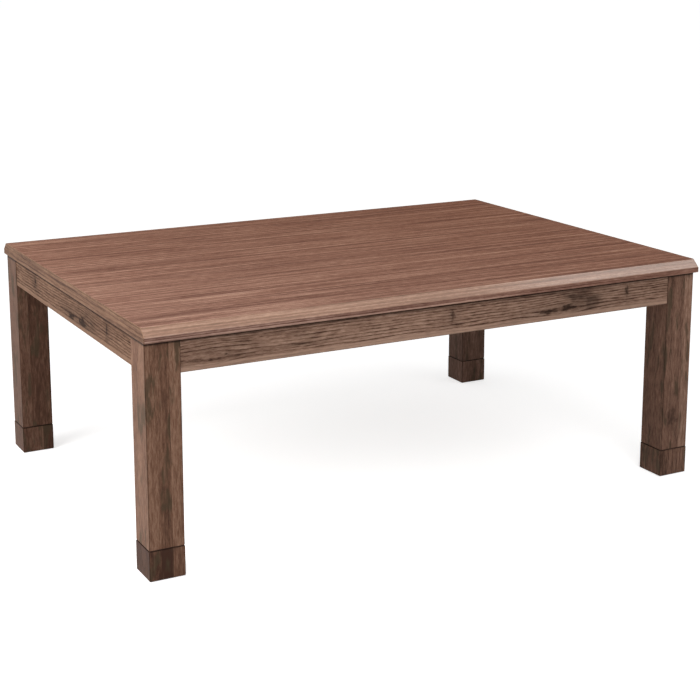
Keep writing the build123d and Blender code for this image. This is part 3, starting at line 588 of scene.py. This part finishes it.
def coated(tree, shapes, coat, put):
    """Ends a geometry tree: the shapes are made real and take their material."""
    solid = result(tree, "GeometryNodeRealizeInstances", {0: shapes})
    skin = add_node(tree, "GeometryNodeSetMaterial", {"Geometry": solid, "Material": coat})
    feed(tree, put, {"Geometry": skin.outputs[0]})


def set_out_tree():
    """Sets a copy of one fastener on each point, along the point's direction."""
    tree, given, put = new_shaper("set_out", ("Fastener", "Object"))
    direction = result(tree, "GeometryNodeInputNamedAttribute", {"Name": "direction"}, data_type="FLOAT_VECTOR")
    turn = result(tree, "FunctionNodeAlignRotationToVector", {"Vector": direction}, axis="Z")
    fastener = add_node(tree, "GeometryNodeObjectInfo", {"Object": given["Fastener"]}).outputs["Geometry"]
    copies = {"Points": given["Geometry"], "Instance": fastener, "Rotation": turn}
    coated(tree, result(tree, "GeometryNodeInstanceOnPoints", copies), given["Finish"], put)
    return tree


set_out = set_out_tree()


def grown(name, tree, inputs, points=((0, 0, 0),), links=(), directions=()):
    """A plain mesh piece made by a Geometry Nodes tree from some points."""
    start = bpy.data.meshes.new(f"{name}_places")
    start.from_pydata(points, links, [])
    if directions:
        attribute = start.attributes.new("direction", "FLOAT_VECTOR", "POINT")
        attribute.data.foreach_set("vector", [c for direction in directions for c in direction])
    piece = added(name, start)
    modifier = piece.modifiers.new(tree.name, "NODES")
    modifier.node_group = tree
    for item in tree.interface.items_tree:
        if item.in_out == "INPUT" and item.name in inputs:
            modifier[item.identifier] = inputs[item.name]
    bpy.context.view_layer.update()
    mesh = bpy.data.meshes.new_from_object(piece.evaluated_get(bpy.context.evaluated_depsgraph_get()))
    piece.modifiers.clear()
    piece.data = mesh
    mesh.name = name
    return piece


def fastened(name, pattern, coat, places):
    """A piece made of one fastener's mesh, copied to each place, a point and a direction."""
    sample = added(f"{name}_sample", pattern)
    points, directions = zip(*places)
    piece = grown(name, set_out, {"Fastener": sample, "Finish": coat}, points, directions=directions)
    bpy.data.objects.remove(sample)
    return piece


def mottle_group():
    """What metal, paint, ceramic and plastic share, as masks: mottling, sparse specks and drawn lines."""
    group, given, put = new_group(
        "mottle", [("Vector", "Vector"), *floats("Size", "Seed")], floats("Mottle", "Specks", "Lines"),
    )
    place, seed = given["Vector"], given["Seed"]
    scale = math_node(group, "DIVIDE", 1.0, given["Size"])
    for mask, times, detail, low, high in (("Mottle", 1.0, 4.0, 0.3, 0.7), ("Specks", 8.0, 1.0, 0.6, 0.72)):
        finer = math_node(group, "MULTIPLY", scale, times)
        settings = {"Vector": place, "W": seed, "Scale": finer, "Detail": detail}
        cloud = result(group, "ShaderNodeTexNoise", settings, noise_dimensions="4D")
        feed(group, put, {mask: ramp(group, cloud, low, high)})
    lines = drawn_noise(group, place, seed, 60.0, math_node(group, "MULTIPLY", scale, 14.0), 2.0)
    feed(group, put, {"Lines": ramp(group, lines, 0.35, 0.7)})
    return group


mottle = mottle_group()


def finish(name, dark, light, size, seed, roughness, metallic=0.0, specks=0.0, lines=0.0, relief=0.00002):
    """A mottled finish of metal, paint, ceramic or plastic, with specks and drawn lines if it has them."""
    material, tree, shader, places = new_material(name)
    calc = partial(math_node, tree)
    settings = {"Vector": places["Object"], "Size": size, "Seed": seed}
    masks = add_node(tree, "ShaderNodeGroup", settings, node_tree=mottle).outputs
    colour = blend_colours(tree, masks["Mottle"], dark, light)
    colour = blend_colours(tree, calc("MULTIPLY", masks["Specks"], specks), colour, toned(dark, 0.45))
    colour = blend_colours(tree, calc("MULTIPLY", masks["Lines"], lines * 0.5), colour, toned(light, 1.25))
    rough = ramp(tree, masks["Mottle"], 0.0, 1.0, roughness[1], roughness[0])
    height = calc("MULTIPLY_ADD", masks["Specks"], specks, masks["Mottle"])
    height = calc("MULTIPLY_ADD", masks["Lines"], lines, height)
    feed(tree, shader, {
        "Base Color": colour,
        "Roughness": calc("MULTIPLY_ADD", masks["Lines"], 0.12 * lines, rough),
        "Normal": bump(tree, height, relief),
        "Metallic": metallic,
    })
    return material


zinc = finish(
    "zinc_steel", srgb(150, 152, 156), srgb(194, 197, 202), 0.006, 4.0, (0.26, 0.42), metallic=1.0, specks=0.3,
    relief=0.00001,
)
felt, tree, shader, places = new_material("felt")
matted = {"Vector": places["Object"], "Scale": 900.0, "Detail": 5.0, "Roughness": 0.7, "Distortion": 1.8}
fibres = result(tree, "ShaderNodeTexNoise", matted)
feed(tree, shader, {
    "Base Color": blend_colours(tree, ramp(tree, fibres, 0.35, 0.65), srgb(74, 64, 56), srgb(126, 114, 102)),
    "Normal": bump(tree, fibres, 0.0006),
    "Roughness": 0.95,
    "Sheen Weight": 0.3,
})
stud_length = 0.052
stud_mesh = threaded_rod("foot_stud", stud_length)
up, down, along = (0, 0, 1), (0, 0, -1), (1, 0, 0)
for corner, *_ in corners:
    low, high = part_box(f"foot_stud_{corner}")
    centre = (low + high) / 2
    stud_foot = (centre.x, centre.y, centre.z - stud_length / 2)
    stud = fastened(f"threaded_stud_{corner}", stud_mesh, zinc, [(stud_foot, up)])
    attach(stud, f"{corner}_foot")
    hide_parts(f"foot_stud_{corner}")
    dress(felt, f"foot_felt_{corner}")
dress(zinc, "leg_inserts")


# -------------------------------- aprons
# Four boards of knotty stained softwood between the legs, the short two a little lower than the long,
# with pale sapwood along their lower edges. The corner brackets hold them to the legs.
front_knots = (
    ((-0.42, 0, 0.35), (0.14, 1, 0.06), 0.0, 0.2),
    ((-0.425, 0, 0.344), (0.03, 1, 0.01), 0.55, 0.0),
    ((-0.389, 0, 0.344), (0.0065, 1, 0.0014), 0.3, 0.95),
    ((-0.262, 0, 0.3435), (0.024, 1, 0.0016), 0.3, 0.9),
    ((-0.256, 0, 0.356), (0.04, 1, 0.008), 0.3, 0.25),
    ((0.014, 0, 0.357), (0.007, 1, 0.015), 0.0, 0.75),
    ((0.206, 0, 0.34), (0.025, 1, 0.0052), 0.45, 1.2),
    ((0.25, 0, 0.343), (0.022, 1, 0.007), 0.45, 1.1),
    ((0.276, 0, 0.356), (0.046, 1, 0.026), 0.0, 0.8),
    ((0.372, 0, 0.357), (0.006, 1, 0.013), 0.0, 0.9),
)
side_knots = (
    ((0.189, 0, 0.36), (0.0055, 1, 0.012), 0.0, 1.2),
    ((-0.018, 0, 0.3405), (0.023, 1, 0.0078), 0.5, 1.5),
    ((-0.078, 0, 0.3435), (0.022, 1, 0.0088), 0.5, 1.5),
    ((-0.105, 0, 0.352), (0.042, 1, 0.016), 0.0, 0.7),
    ((-0.197, 0, 0.359), (0.005, 1, 0.012), 0.0, 1.2),
)
long_board = ((0, -0.29, 0.29), (srgb(60, 42, 34), srgb(134, 104, 88), srgb(172, 141, 122)), front_knots, 0.37)
# The short boards' tones are darker than the long ones', partly their own tone and partly painted shade from
# the top above them.
short_board = ((0, 0.44, 0.29), (srgb(50, 31, 22), srgb(104, 77, 61), srgb(140, 110, 90)), side_knots, 0.4)
sapwood_width, sapwood_fade, sapwood_cover = 0.0098, 0.002, 0.55
for number, (name, turn, (pith, tones, knots, ring_weight)) in enumerate((
    ("front", (0, 0, 0), long_board), ("back", (0, 0, math.pi), long_board),
    ("left", (0, 0, -math.pi / 2), short_board), ("right", (0, 0, math.pi / 2), short_board),
)):
    board = wood(
        f"apron_wood_{name}", tones, seed=60.0 + 9 * number, turn=turn, pith=pith, rings=0.0031,
        wave=(0.009, 0.24), bands=0.018, streaks=(0.0016, 0.03), weights=(ring_weight, 0.22, 0.21, 0.35),
        pores=0.3, gloss=0.02, knots=knots, edges=(0.0, 1.0, 0.0),
    )
    sapwood_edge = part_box(f"apron_{name}")[0][2] + sapwood_width
    lay_tone_and_shade(board, sapwood_edge, sapwood_edge - sapwood_fade, sapwood_cover, toned(tones[2], 0.95))
    # Painted shade: a dark band along the apron's top, under the loose top.
    lay_tone_and_shade(board, *shade_under_top)
    dress(board, f"apron_{name}")


# -------------------------------- rails and cross pieces
# Sawn, unstained softwood: two rails let into the long aprons carry the heater's flange,
# and two cross pieces let into the rails close its opening.
pine_tones = (srgb(164, 122, 80), srgb(204, 168, 122), srgb(226, 198, 156))
for number, name in enumerate(("rail_left", "rail_right", "crosspiece_front", "crosspiece_back")):
    sawn = wood(
        f"rail_wood_{name}", pine_tones, seed=120.0 + 7 * number,
        turn=(0, 0, -math.pi / 2 if name.startswith("rail") else 0), pith=(0, 0.19, 0.33), rings=0.0034,
        wave=(0.006, 0.2), bands=0.012, streaks=(0.001, 0.02), weights=(0.5, 0.25, 0.25, 0.15), pores=0.2,
        gloss=0.25, roughness=0.72,
    )
    dress(sawn, name)


# -------------------------------- top pads
# Small dark rubber pads, one stuck on each leg and one on the middle of each apron. The loose top
# rests on them and doesn't slide.
rubber = finish(
    "pad_rubber", srgb(34, 32, 30), srgb(54, 51, 48), 0.0012, 7.0, (0.7, 0.85), specks=0.4, relief=0.00008,
)
dress(rubber, "top_pads")


# -------------------------------- corner brackets and leg bolts
# Folded zinc-plated steel, hooked into kerfs in the aprons and screwed to them. A hanger bolt
# from each leg comes through its bracket, and a washer and a nut draw the leg up tight.
def screw_mesh(name, head, rise, shank, length, pitch):
    """A pan-head wood screw with a cross recess, standing on its head's seat with its point down."""
    ridges = threaded(-length + 0.003, -0.0006, shank, pitch, shank * 0.32, rows=4)

    def section(angle):
        on_arm = abs((angle + math.pi / 4) % (math.pi / 2) - math.pi / 4) < 0.24
        recess = [(0, rise * 0.3), (head * 0.1, rise * 0.3), (head * 0.13, rise * 0.34)]
        recess += [(head * 0.46, rise * 0.5)] if on_arm else [(head * 0.17, rise)]
        crown = [(head * 0.52, rise * 0.97), (head * 0.78, rise * 0.86), (head * 0.95, rise * 0.6)]
        crown += [(head, rise * 0.3), (head * 0.99, 0), (shank * 0.9, 0)]
        return [(0, -length), (shank * 0.3, -length + 0.0012), *ridges(angle), *reversed(recess + crown)]

    return turned(name, section, 32, 35)


def nut_section(angle):
    """A hexagon nut's section at an angle: its corners are cut back by a cone at both ends."""
    bore, flats, height = 0.00405, 0.0065, 0.0065
    to_side = flats / math.cos((angle + math.pi / 6) % (math.pi / 3) - math.pi / 6)
    face = flats * 0.96
    cut = (to_side - face) * math.tan(math.radians(28))
    return [
        (bore + 0.0004, 0), (bore, 0.0004), (bore, height - 0.0004), (bore + 0.0004, height), (face, height),
        (to_side, height - cut), (to_side, cut), (face, 0), (bore + 0.0004, 0),
    ]


screw_steel = finish(
    "screw_steel", srgb(158, 146, 112), srgb(202, 192, 156), 0.003, 9.0, (0.28, 0.42), metallic=1.0, specks=0.2,
    relief=0.000006,
)
dress(zinc, "corner_brackets")
wood_screw = screw_mesh("wood_screw", head=0.0036, rise=0.0022, shank=0.0018, length=0.015, pitch=0.0015)
long_wing, short_wing, leg_seat, bracket_level = (0.426, 0.3425), (0.4985, 0.27), (0.472, 0.316), 0.352
bolt_end, bracket_back, washer_back = 0.0146, 0.0025, 0.0041
wing_screws, bolts, washers, nuts = [], [], [], []
for _, side_x, side_y in corners:
    on_long, on_short, seat = (
        Vector((side_x * x, side_y * y, bracket_level)) for x, y in (long_wing, short_wing, leg_seat)
    )
    wing_screws += [(on_long, (0, -side_y, 0)), (on_short, (-side_x, 0, 0))]
    into_leg = Vector((side_x, side_y, 0)).normalized()
    bolts.append((seat - into_leg * bolt_end, into_leg))
    washers.append((seat - into_leg * bracket_back, -into_leg))
    nuts.append((seat - into_leg * washer_back, -into_leg))
bolt_mesh = threaded_rod("leg_bolt", 0.0546)
washer_mesh = turned("leg_washer", section_mm(
    (4.3, 0), (4.05, 0.2), (4.05, 1.4), (4.3, 1.6), (8.8, 1.6), (9, 1.4), (9, 0.2), (8.8, 0), (4.3, 0),
), 48)
nut_mesh = turned("leg_nut", nut_section, 60)
for name, mesh, coat, places, node, slot in (
    ("cross_head_bracket_screws", wood_screw, screw_steel, wing_screws, "bracket_screws", "screw_steel"),
    ("threaded_leg_bolts", bolt_mesh, zinc, bolts, "leg_bolts", "zinc_steel"),
    ("plain_washers", washer_mesh, zinc, washers, "leg_washers", "zinc_steel"),
    ("hexagon_nuts", nut_mesh, zinc, nuts, "leg_nuts", "zinc_steel"),
):
    piece = fastened(name, mesh, coat, places)
    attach(piece, "frame")
    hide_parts(node)


# -------------------------------- heater case
# A pan pressed from 1 mm steel and stove enamelled, with cooling slots low in its walls. Its flange
# lies on the rails and is screwed down to them.
case_paint = finish(
    "case_paint", srgb(52, 52, 54), srgb(72, 72, 74), 0.0022, 12.0, (0.38, 0.52), specks=0.25, relief=0.00003,
)
dress(case_paint, "heater_case")
case_screw_x, case_screw_y, flange_top = 0.144, 0.1, 0.371
case_screws = [((x * case_screw_x, y * case_screw_y, flange_top), up) for x in (-1, 1) for y in (-1, 1)]
heater_screws = fastened("cross_head_heater_screws", wood_screw, screw_steel, case_screws)
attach(heater_screws, "frame")
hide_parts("heater_screws")


# -------------------------------- reflector
# Bright rolled aluminium bent to a trough with sloping sides, closed by end plates whose tabs
# are welded up under the case.
aluminium = finish(
    "reflector_aluminium", srgb(196, 198, 202), srgb(226, 228, 232), 0.012, 15.0, (0.14, 0.26), metallic=1.0,
    lines=0.8, relief=0.000012,
)
dress(aluminium, "reflector")


# -------------------------------- heating tube
# A hollow quartz tube bent to a U, with a long coil of resistance wire in it. Ceramic sockets hold
# its ends in the reflector's end plate, and a spring clip holds its bend.
tube_level, tube_side, tube_start, bend_start = 0.34, 0.05, -0.1092, 0.0502
bend_steps = 40
centre_line = [(tube_start, -tube_side, tube_level)]
for step in range(bend_steps + 1):
    angle = math.pi * (step / bend_steps - 0.5)
    centre_line.append((bend_start + tube_side * math.cos(angle), tube_side * math.sin(angle), tube_level))
centre_line.append((tube_start, tube_side, tube_level))


def hollow_tube(name, line, outer, inner, steps):
    """A tube with a wall and closed ends along a level line of points."""
    form = bmesh.new()
    points = [Vector(point) for point in line]
    upright = Vector(up)
    angles = [math.tau * step / steps for step in range(steps)]
    rings = []
    for before, point, after in zip([points[0], *points], points, [*points[1:], points[-1]]):
        way = (after - before).normalized()
        level = Vector((-way.y, way.x, 0))
        rings.append([
            [form.verts.new(point + radius * (math.cos(a) * level + math.sin(a) * upright)) for a in angles]
            for radius in (outer, inner)
        ])
    for near, far in zip(rings, rings[1:]):
        for side in (0, 1):
            for step in range(steps):
                form.faces.new((near[side][step - 1], near[side][step], far[side][step], far[side][step - 1]))
    for outside, inside in (rings[0], rings[-1]):
        for step in range(steps):
            form.faces.new((outside[step - 1], outside[step], inside[step], inside[step - 1]))
    return mesh_from(form, name, 50)


quartz, tree, shader, places = new_material("quartz")
bubbles = drawn_noise(tree, places["Object"], 21.0, 14.0, 900.0, 2.0)
feed(tree, shader, {
    "Base Color": blend_colours(tree, ramp(tree, bubbles, 0.5, 0.75), srgb(252, 252, 252), srgb(222, 226, 230)),
    "Roughness": ramp(tree, bubbles, 0.4, 0.75, 0.03, 0.3),
    "Normal": bump(tree, bubbles, 0.00002),
    "Transmission Weight": 1.0,
    "IOR": 1.46,
})
tube_mesh = hollow_tube("quartz_tube", centre_line, outer=0.0055, inner=0.0045, steps=32)
tube_mesh.materials.append(quartz)
tube = added("quartz_tube", tube_mesh)
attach(tube, "frame")
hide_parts("heater_tube")


def coil_tree():
    """Winds a wire coil along a line: a point turns round the line at a radius, and the wire follows it."""
    own_inputs = floats("Coil Radius", "Wire Radius", "Steps per Turn")
    tree, given, put = new_shaper("wound_coil", ("Steps", "Int"), *own_inputs)
    calc = partial(math_node, tree)
    line = result(tree, "GeometryNodeMeshToCurve", {"Mesh": given["Geometry"]})
    even_steps = {"Curve": line, "Count": given["Steps"]}
    fine_line = result(tree, "GeometryNodeResampleCurve", even_steps, mode="COUNT")
    turns = calc("DIVIDE", result(tree, "GeometryNodeInputIndex"), given["Steps per Turn"])
    angle = calc("MULTIPLY", turns, math.tau)
    upright = result(tree, "ShaderNodeCombineXYZ", {"Z": 1.0})
    aside = vector_node(tree, "CROSS_PRODUCT", result(tree, "GeometryNodeInputTangent"), upright)
    out, rise = (calc("MULTIPLY", calc(wave, angle), given["Coil Radius"]) for wave in ("COSINE", "SINE"))
    offset = vector_node(tree, "ADD", scaled(tree, aside, out), scaled(tree, upright, rise))
    wound = result(tree, "GeometryNodeSetPosition", {"Geometry": fine_line, "Offset": offset})
    round_wire = {"Resolution": 6, "Radius": given["Wire Radius"]}
    section = result(tree, "GeometryNodeCurvePrimitiveCircle", round_wire, mode="RADIUS")
    wire = {"Curve": wound, "Profile Curve": section, "Fill Caps": True}
    coated(tree, result(tree, "GeometryNodeCurveToMesh", wire), given["Finish"], put)
    return tree


element_wire = finish(
    "element_wire", srgb(66, 58, 54), srgb(112, 100, 90), 0.004, 18.0, (0.42, 0.6), metallic=1.0, specks=0.3,
    relief=0.00001,
)
line_links = [(number, number + 1) for number in range(len(centre_line) - 1)]
coil_turns, steps_per_turn = 272, 12
coil = grown("heater_coil", coil_tree(), {
    "Steps": coil_turns * steps_per_turn, "Steps per Turn": float(steps_per_turn), "Coil Radius": 0.0026,
    "Wire Radius": 0.00038, "Finish": element_wire,
}, centre_line, line_links)
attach(coil, "frame")
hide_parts("heater_element")

ceramic = finish(
    "ceramic", srgb(222, 214, 200), srgb(240, 236, 226), 0.004, 20.0, (0.3, 0.45), specks=0.2, relief=0.00002,
)
socket_mesh = turned("tube_socket", section_mm(
    (0, -8), (6.2, -8), (7, -7.2), (7, 0), (8.4, 0), (9, 0.6), (9, 5.8), (8.3, 6.4), (8.3, 7.6), (9, 8.2),
    (9, 11.8), (8.3, 12.4), (8.3, 13.6), (9, 14.2), (9, 19.2), (8.2, 20), (6.3, 20), (5.55, 19.4), (5.55, 8),
    (0, 8),
), 48)
end_plate = -0.1172
socket_places = [((end_plate, y * tube_side, tube_level), along) for y in (-1, 1)]
sockets = fastened("ceramic_sockets", socket_mesh, ceramic, socket_places)
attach(sockets, "frame")
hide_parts("tube_sockets")
spring_steel = finish(
    "spring_steel", srgb(112, 110, 108), srgb(150, 148, 144), 0.004, 23.0, (0.25, 0.4), metallic=1.0, lines=0.4,
    relief=0.000008,
)
dress(spring_steel, "tube_clip")


# -------------------------------- thermostat, fuse and leads
# A disc thermostat with a metal cap and a thermal fuse, in series with the tube, on the back of the
# reflector. Glass-sleeved leads join the inlet's pins, these two and the sockets.
stat_mesh = turned("disc_thermostat", section_mm(
    (0, 0), (7.6, 0), (8, 0.4), (8, 2.6), (7.6, 3), (6.6, 3), (6.6, 6), (5.8, 6.7), (2.2, 6.7), (2, 7), (0, 7),
), 40)
reflector_back, stat_x, fuse_x, fuse_radius = 0.36, 0.03, -0.01, 0.0022
stat = fastened("disc_thermostat", stat_mesh, ceramic, [((stat_x, tube_side, reflector_back), up)])
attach(stat, "frame")
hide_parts("thermostat")
fuse_body = finish(
    "fuse_body", srgb(186, 180, 168), srgb(214, 210, 200), 0.003, 26.0, (0.3, 0.45), metallic=1.0, lines=0.3,
    relief=0.000008,
)
fuse_mesh = turned("capsule_fuse", section_mm(
    (0, -7), (0.9, -7), (1, -6.2), (1.8, -5.4), (2.2, -4.6), (2.2, 4.8), (2, 5.6), (1.2, 6.2), (1, 7), (0, 7),
), 32)
fuse_place = (fuse_x, -tube_side, reflector_back + fuse_radius)
fuse = fastened("capsule_fuse", fuse_mesh, fuse_body, [(fuse_place, along)])
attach(fuse, "frame")
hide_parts("thermal_fuse")

sleeve, tree, shader, places = new_material("wire_sleeve")
strand_width = 0.0007
strands = []
for direction in ((1.0, 1.0, 1.0), (1.0, -1.0, -1.0)):
    across = {0: places["Object"], 1: direction}
    crossing = add_node(tree, "ShaderNodeVectorMath", across, operation="DOT_PRODUCT").outputs["Value"]
    strands.append(math_node(tree, "SINE", math_node(tree, "MULTIPLY", crossing, math.tau / strand_width)))
plait = ramp(tree, math_node(tree, "MULTIPLY", *strands), -0.6, 0.6)
feed(tree, shader, {
    "Base Color": blend_colours(tree, plait, srgb(190, 182, 164), srgb(236, 232, 220)),
    "Normal": bump(tree, plait, 0.00012),
    "Roughness": 0.8,
})
dress(sleeve, "lead_wires")


# -------------------------------- power inlet
# A black phenolic moulding through the case's end wall, with a shroud round two plated brass pins
# that take the appliance plug.
moulding = finish(
    "dark_plastic", srgb(24, 24, 26), srgb(38, 38, 40), 0.0014, 29.0, (0.34, 0.5), specks=0.3, relief=0.00003,
)
pin_brass = finish(
    "pin_brass", srgb(178, 158, 108), srgb(212, 196, 150), 0.003, 31.0, (0.2, 0.34), metallic=1.0, lines=0.3,
    relief=0.000006,
)
dress(moulding, "power_inlet")
dress(pin_brass, "inlet_pins")


# -------------------------------- guard
# A pressed steel rim screwed up under the case, with a grille of welded wires on its lip. Both are
# flocked black, so that a quilt or a knee that touches them isn't burnt.
flock = finish(
    "guard_paint", srgb(20, 20, 22), srgb(40, 39, 40), 0.0009, 33.0, (0.85, 0.98), specks=0.6, relief=0.00022,
)
pile = {"Sheen Weight": 0.35, "Sheen Roughness": 0.6}
feed(flock.node_tree, flock.node_tree.nodes["Principled BSDF"].inputs, pile)
dress(flock, "guard_rim")


def grille_tree():
    """A welded grille: a row of long wires, a few cross wires on them, and a weld bead at each crossing."""
    own_inputs = floats("Wire Radius", "Pitch", "Cross Pitch", "Reach", "Level")
    tree, given, put = new_shaper("welded_grille", ("Wires", "Int"), ("Cross Wires", "Int"), *own_inputs)
    calc = partial(math_node, tree)
    radius, level = given["Wire Radius"], given["Level"]

    def row(wires, axis, level):
        """Points in a row across the middle at one level, one for each wire."""
        count, pitch = wires
        start = calc("MULTIPLY", calc("MULTIPLY", calc("SUBTRACT", count, 1.0), pitch), -0.5)
        first = result(tree, "ShaderNodeCombineXYZ", {axis: start, "Z": level})
        step = result(tree, "ShaderNodeCombineXYZ", {axis: pitch})
        points = {"Count": count, "Start Location": first, "Offset": step}
        return result(tree, "GeometryNodeMeshLine", points, mode="OFFSET")

    def copied(instance, points, **placing):
        """An instance set on each point."""
        settings = {"Points": points, "Instance": instance, **placing}
        return result(tree, "GeometryNodeInstanceOnPoints", settings)

    length = calc("MULTIPLY", given["Reach"], 2.0)
    wire = result(tree, "GeometryNodeMeshCylinder", {"Vertices": 16, "Radius": radius, "Depth": length})
    bead_radius = calc("MULTIPLY", radius, 1.15)
    bead = result(tree, "GeometryNodeMeshIcoSphere", {"Radius": bead_radius, "Subdivisions": 2})
    long_wires = (given["Wires"], given["Pitch"])
    cross_wires = (given["Cross Wires"], given["Cross Pitch"])
    upper, crossing = calc("MULTIPLY_ADD", radius, 2.0, level), calc("ADD", level, radius)
    crossings = copied(row(long_wires, "Y", crossing), row(cross_wires, "X", 0.0))
    crossings = result(tree, "GeometryNodeRealizeInstances", {0: crossings})
    together = add_node(tree, "GeometryNodeJoinGeometry")
    for part in (
        copied(wire, row(long_wires, "Y", level), Rotation=(0, math.pi / 2, 0)),
        copied(wire, row(cross_wires, "X", upper), Rotation=(math.pi / 2, 0, 0)),
        copied(bead, crossings, Scale=(1.2, 1.2, 0.7)),
    ):
        tree.links.new(part, together.inputs[0])
    coated(tree, together.outputs[0], given["Finish"], put)
    return tree


grille = grown("welded_guard_grille", grille_tree(), {
    "Wires": 23, "Cross Wires": 3, "Wire Radius": 0.00125, "Pitch": 0.01, "Cross Pitch": 0.075,
    "Reach": 0.1265, "Level": 0.30525, "Finish": flock,
})
grille.data.shade_smooth()
grille.data.set_sharp_from_angle(angle=math.radians(40))
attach(grille, "frame")
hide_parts("guard_wires", "guard_cross_wires")

guard_screw = screw_mesh("guard_screw", head=0.0026, rise=0.0016, shank=0.0014, length=0.008, pitch=0.0011)
rim_screw_x, rim_screw_y, rim_seat = 0.131, 0.08, 0.317
rim_screws = [((x * rim_screw_x, y * rim_screw_y, rim_seat), down) for x in (-1, 1) for y in (-1, 1)]
guard_screws = fastened("cross_head_guard_screws", guard_screw, screw_steel, rim_screws)
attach(guard_screws, "frame")
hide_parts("guard_screws")


size = {"cad": [list(c) for c in cad_box], "visual": [list(c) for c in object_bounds()]}
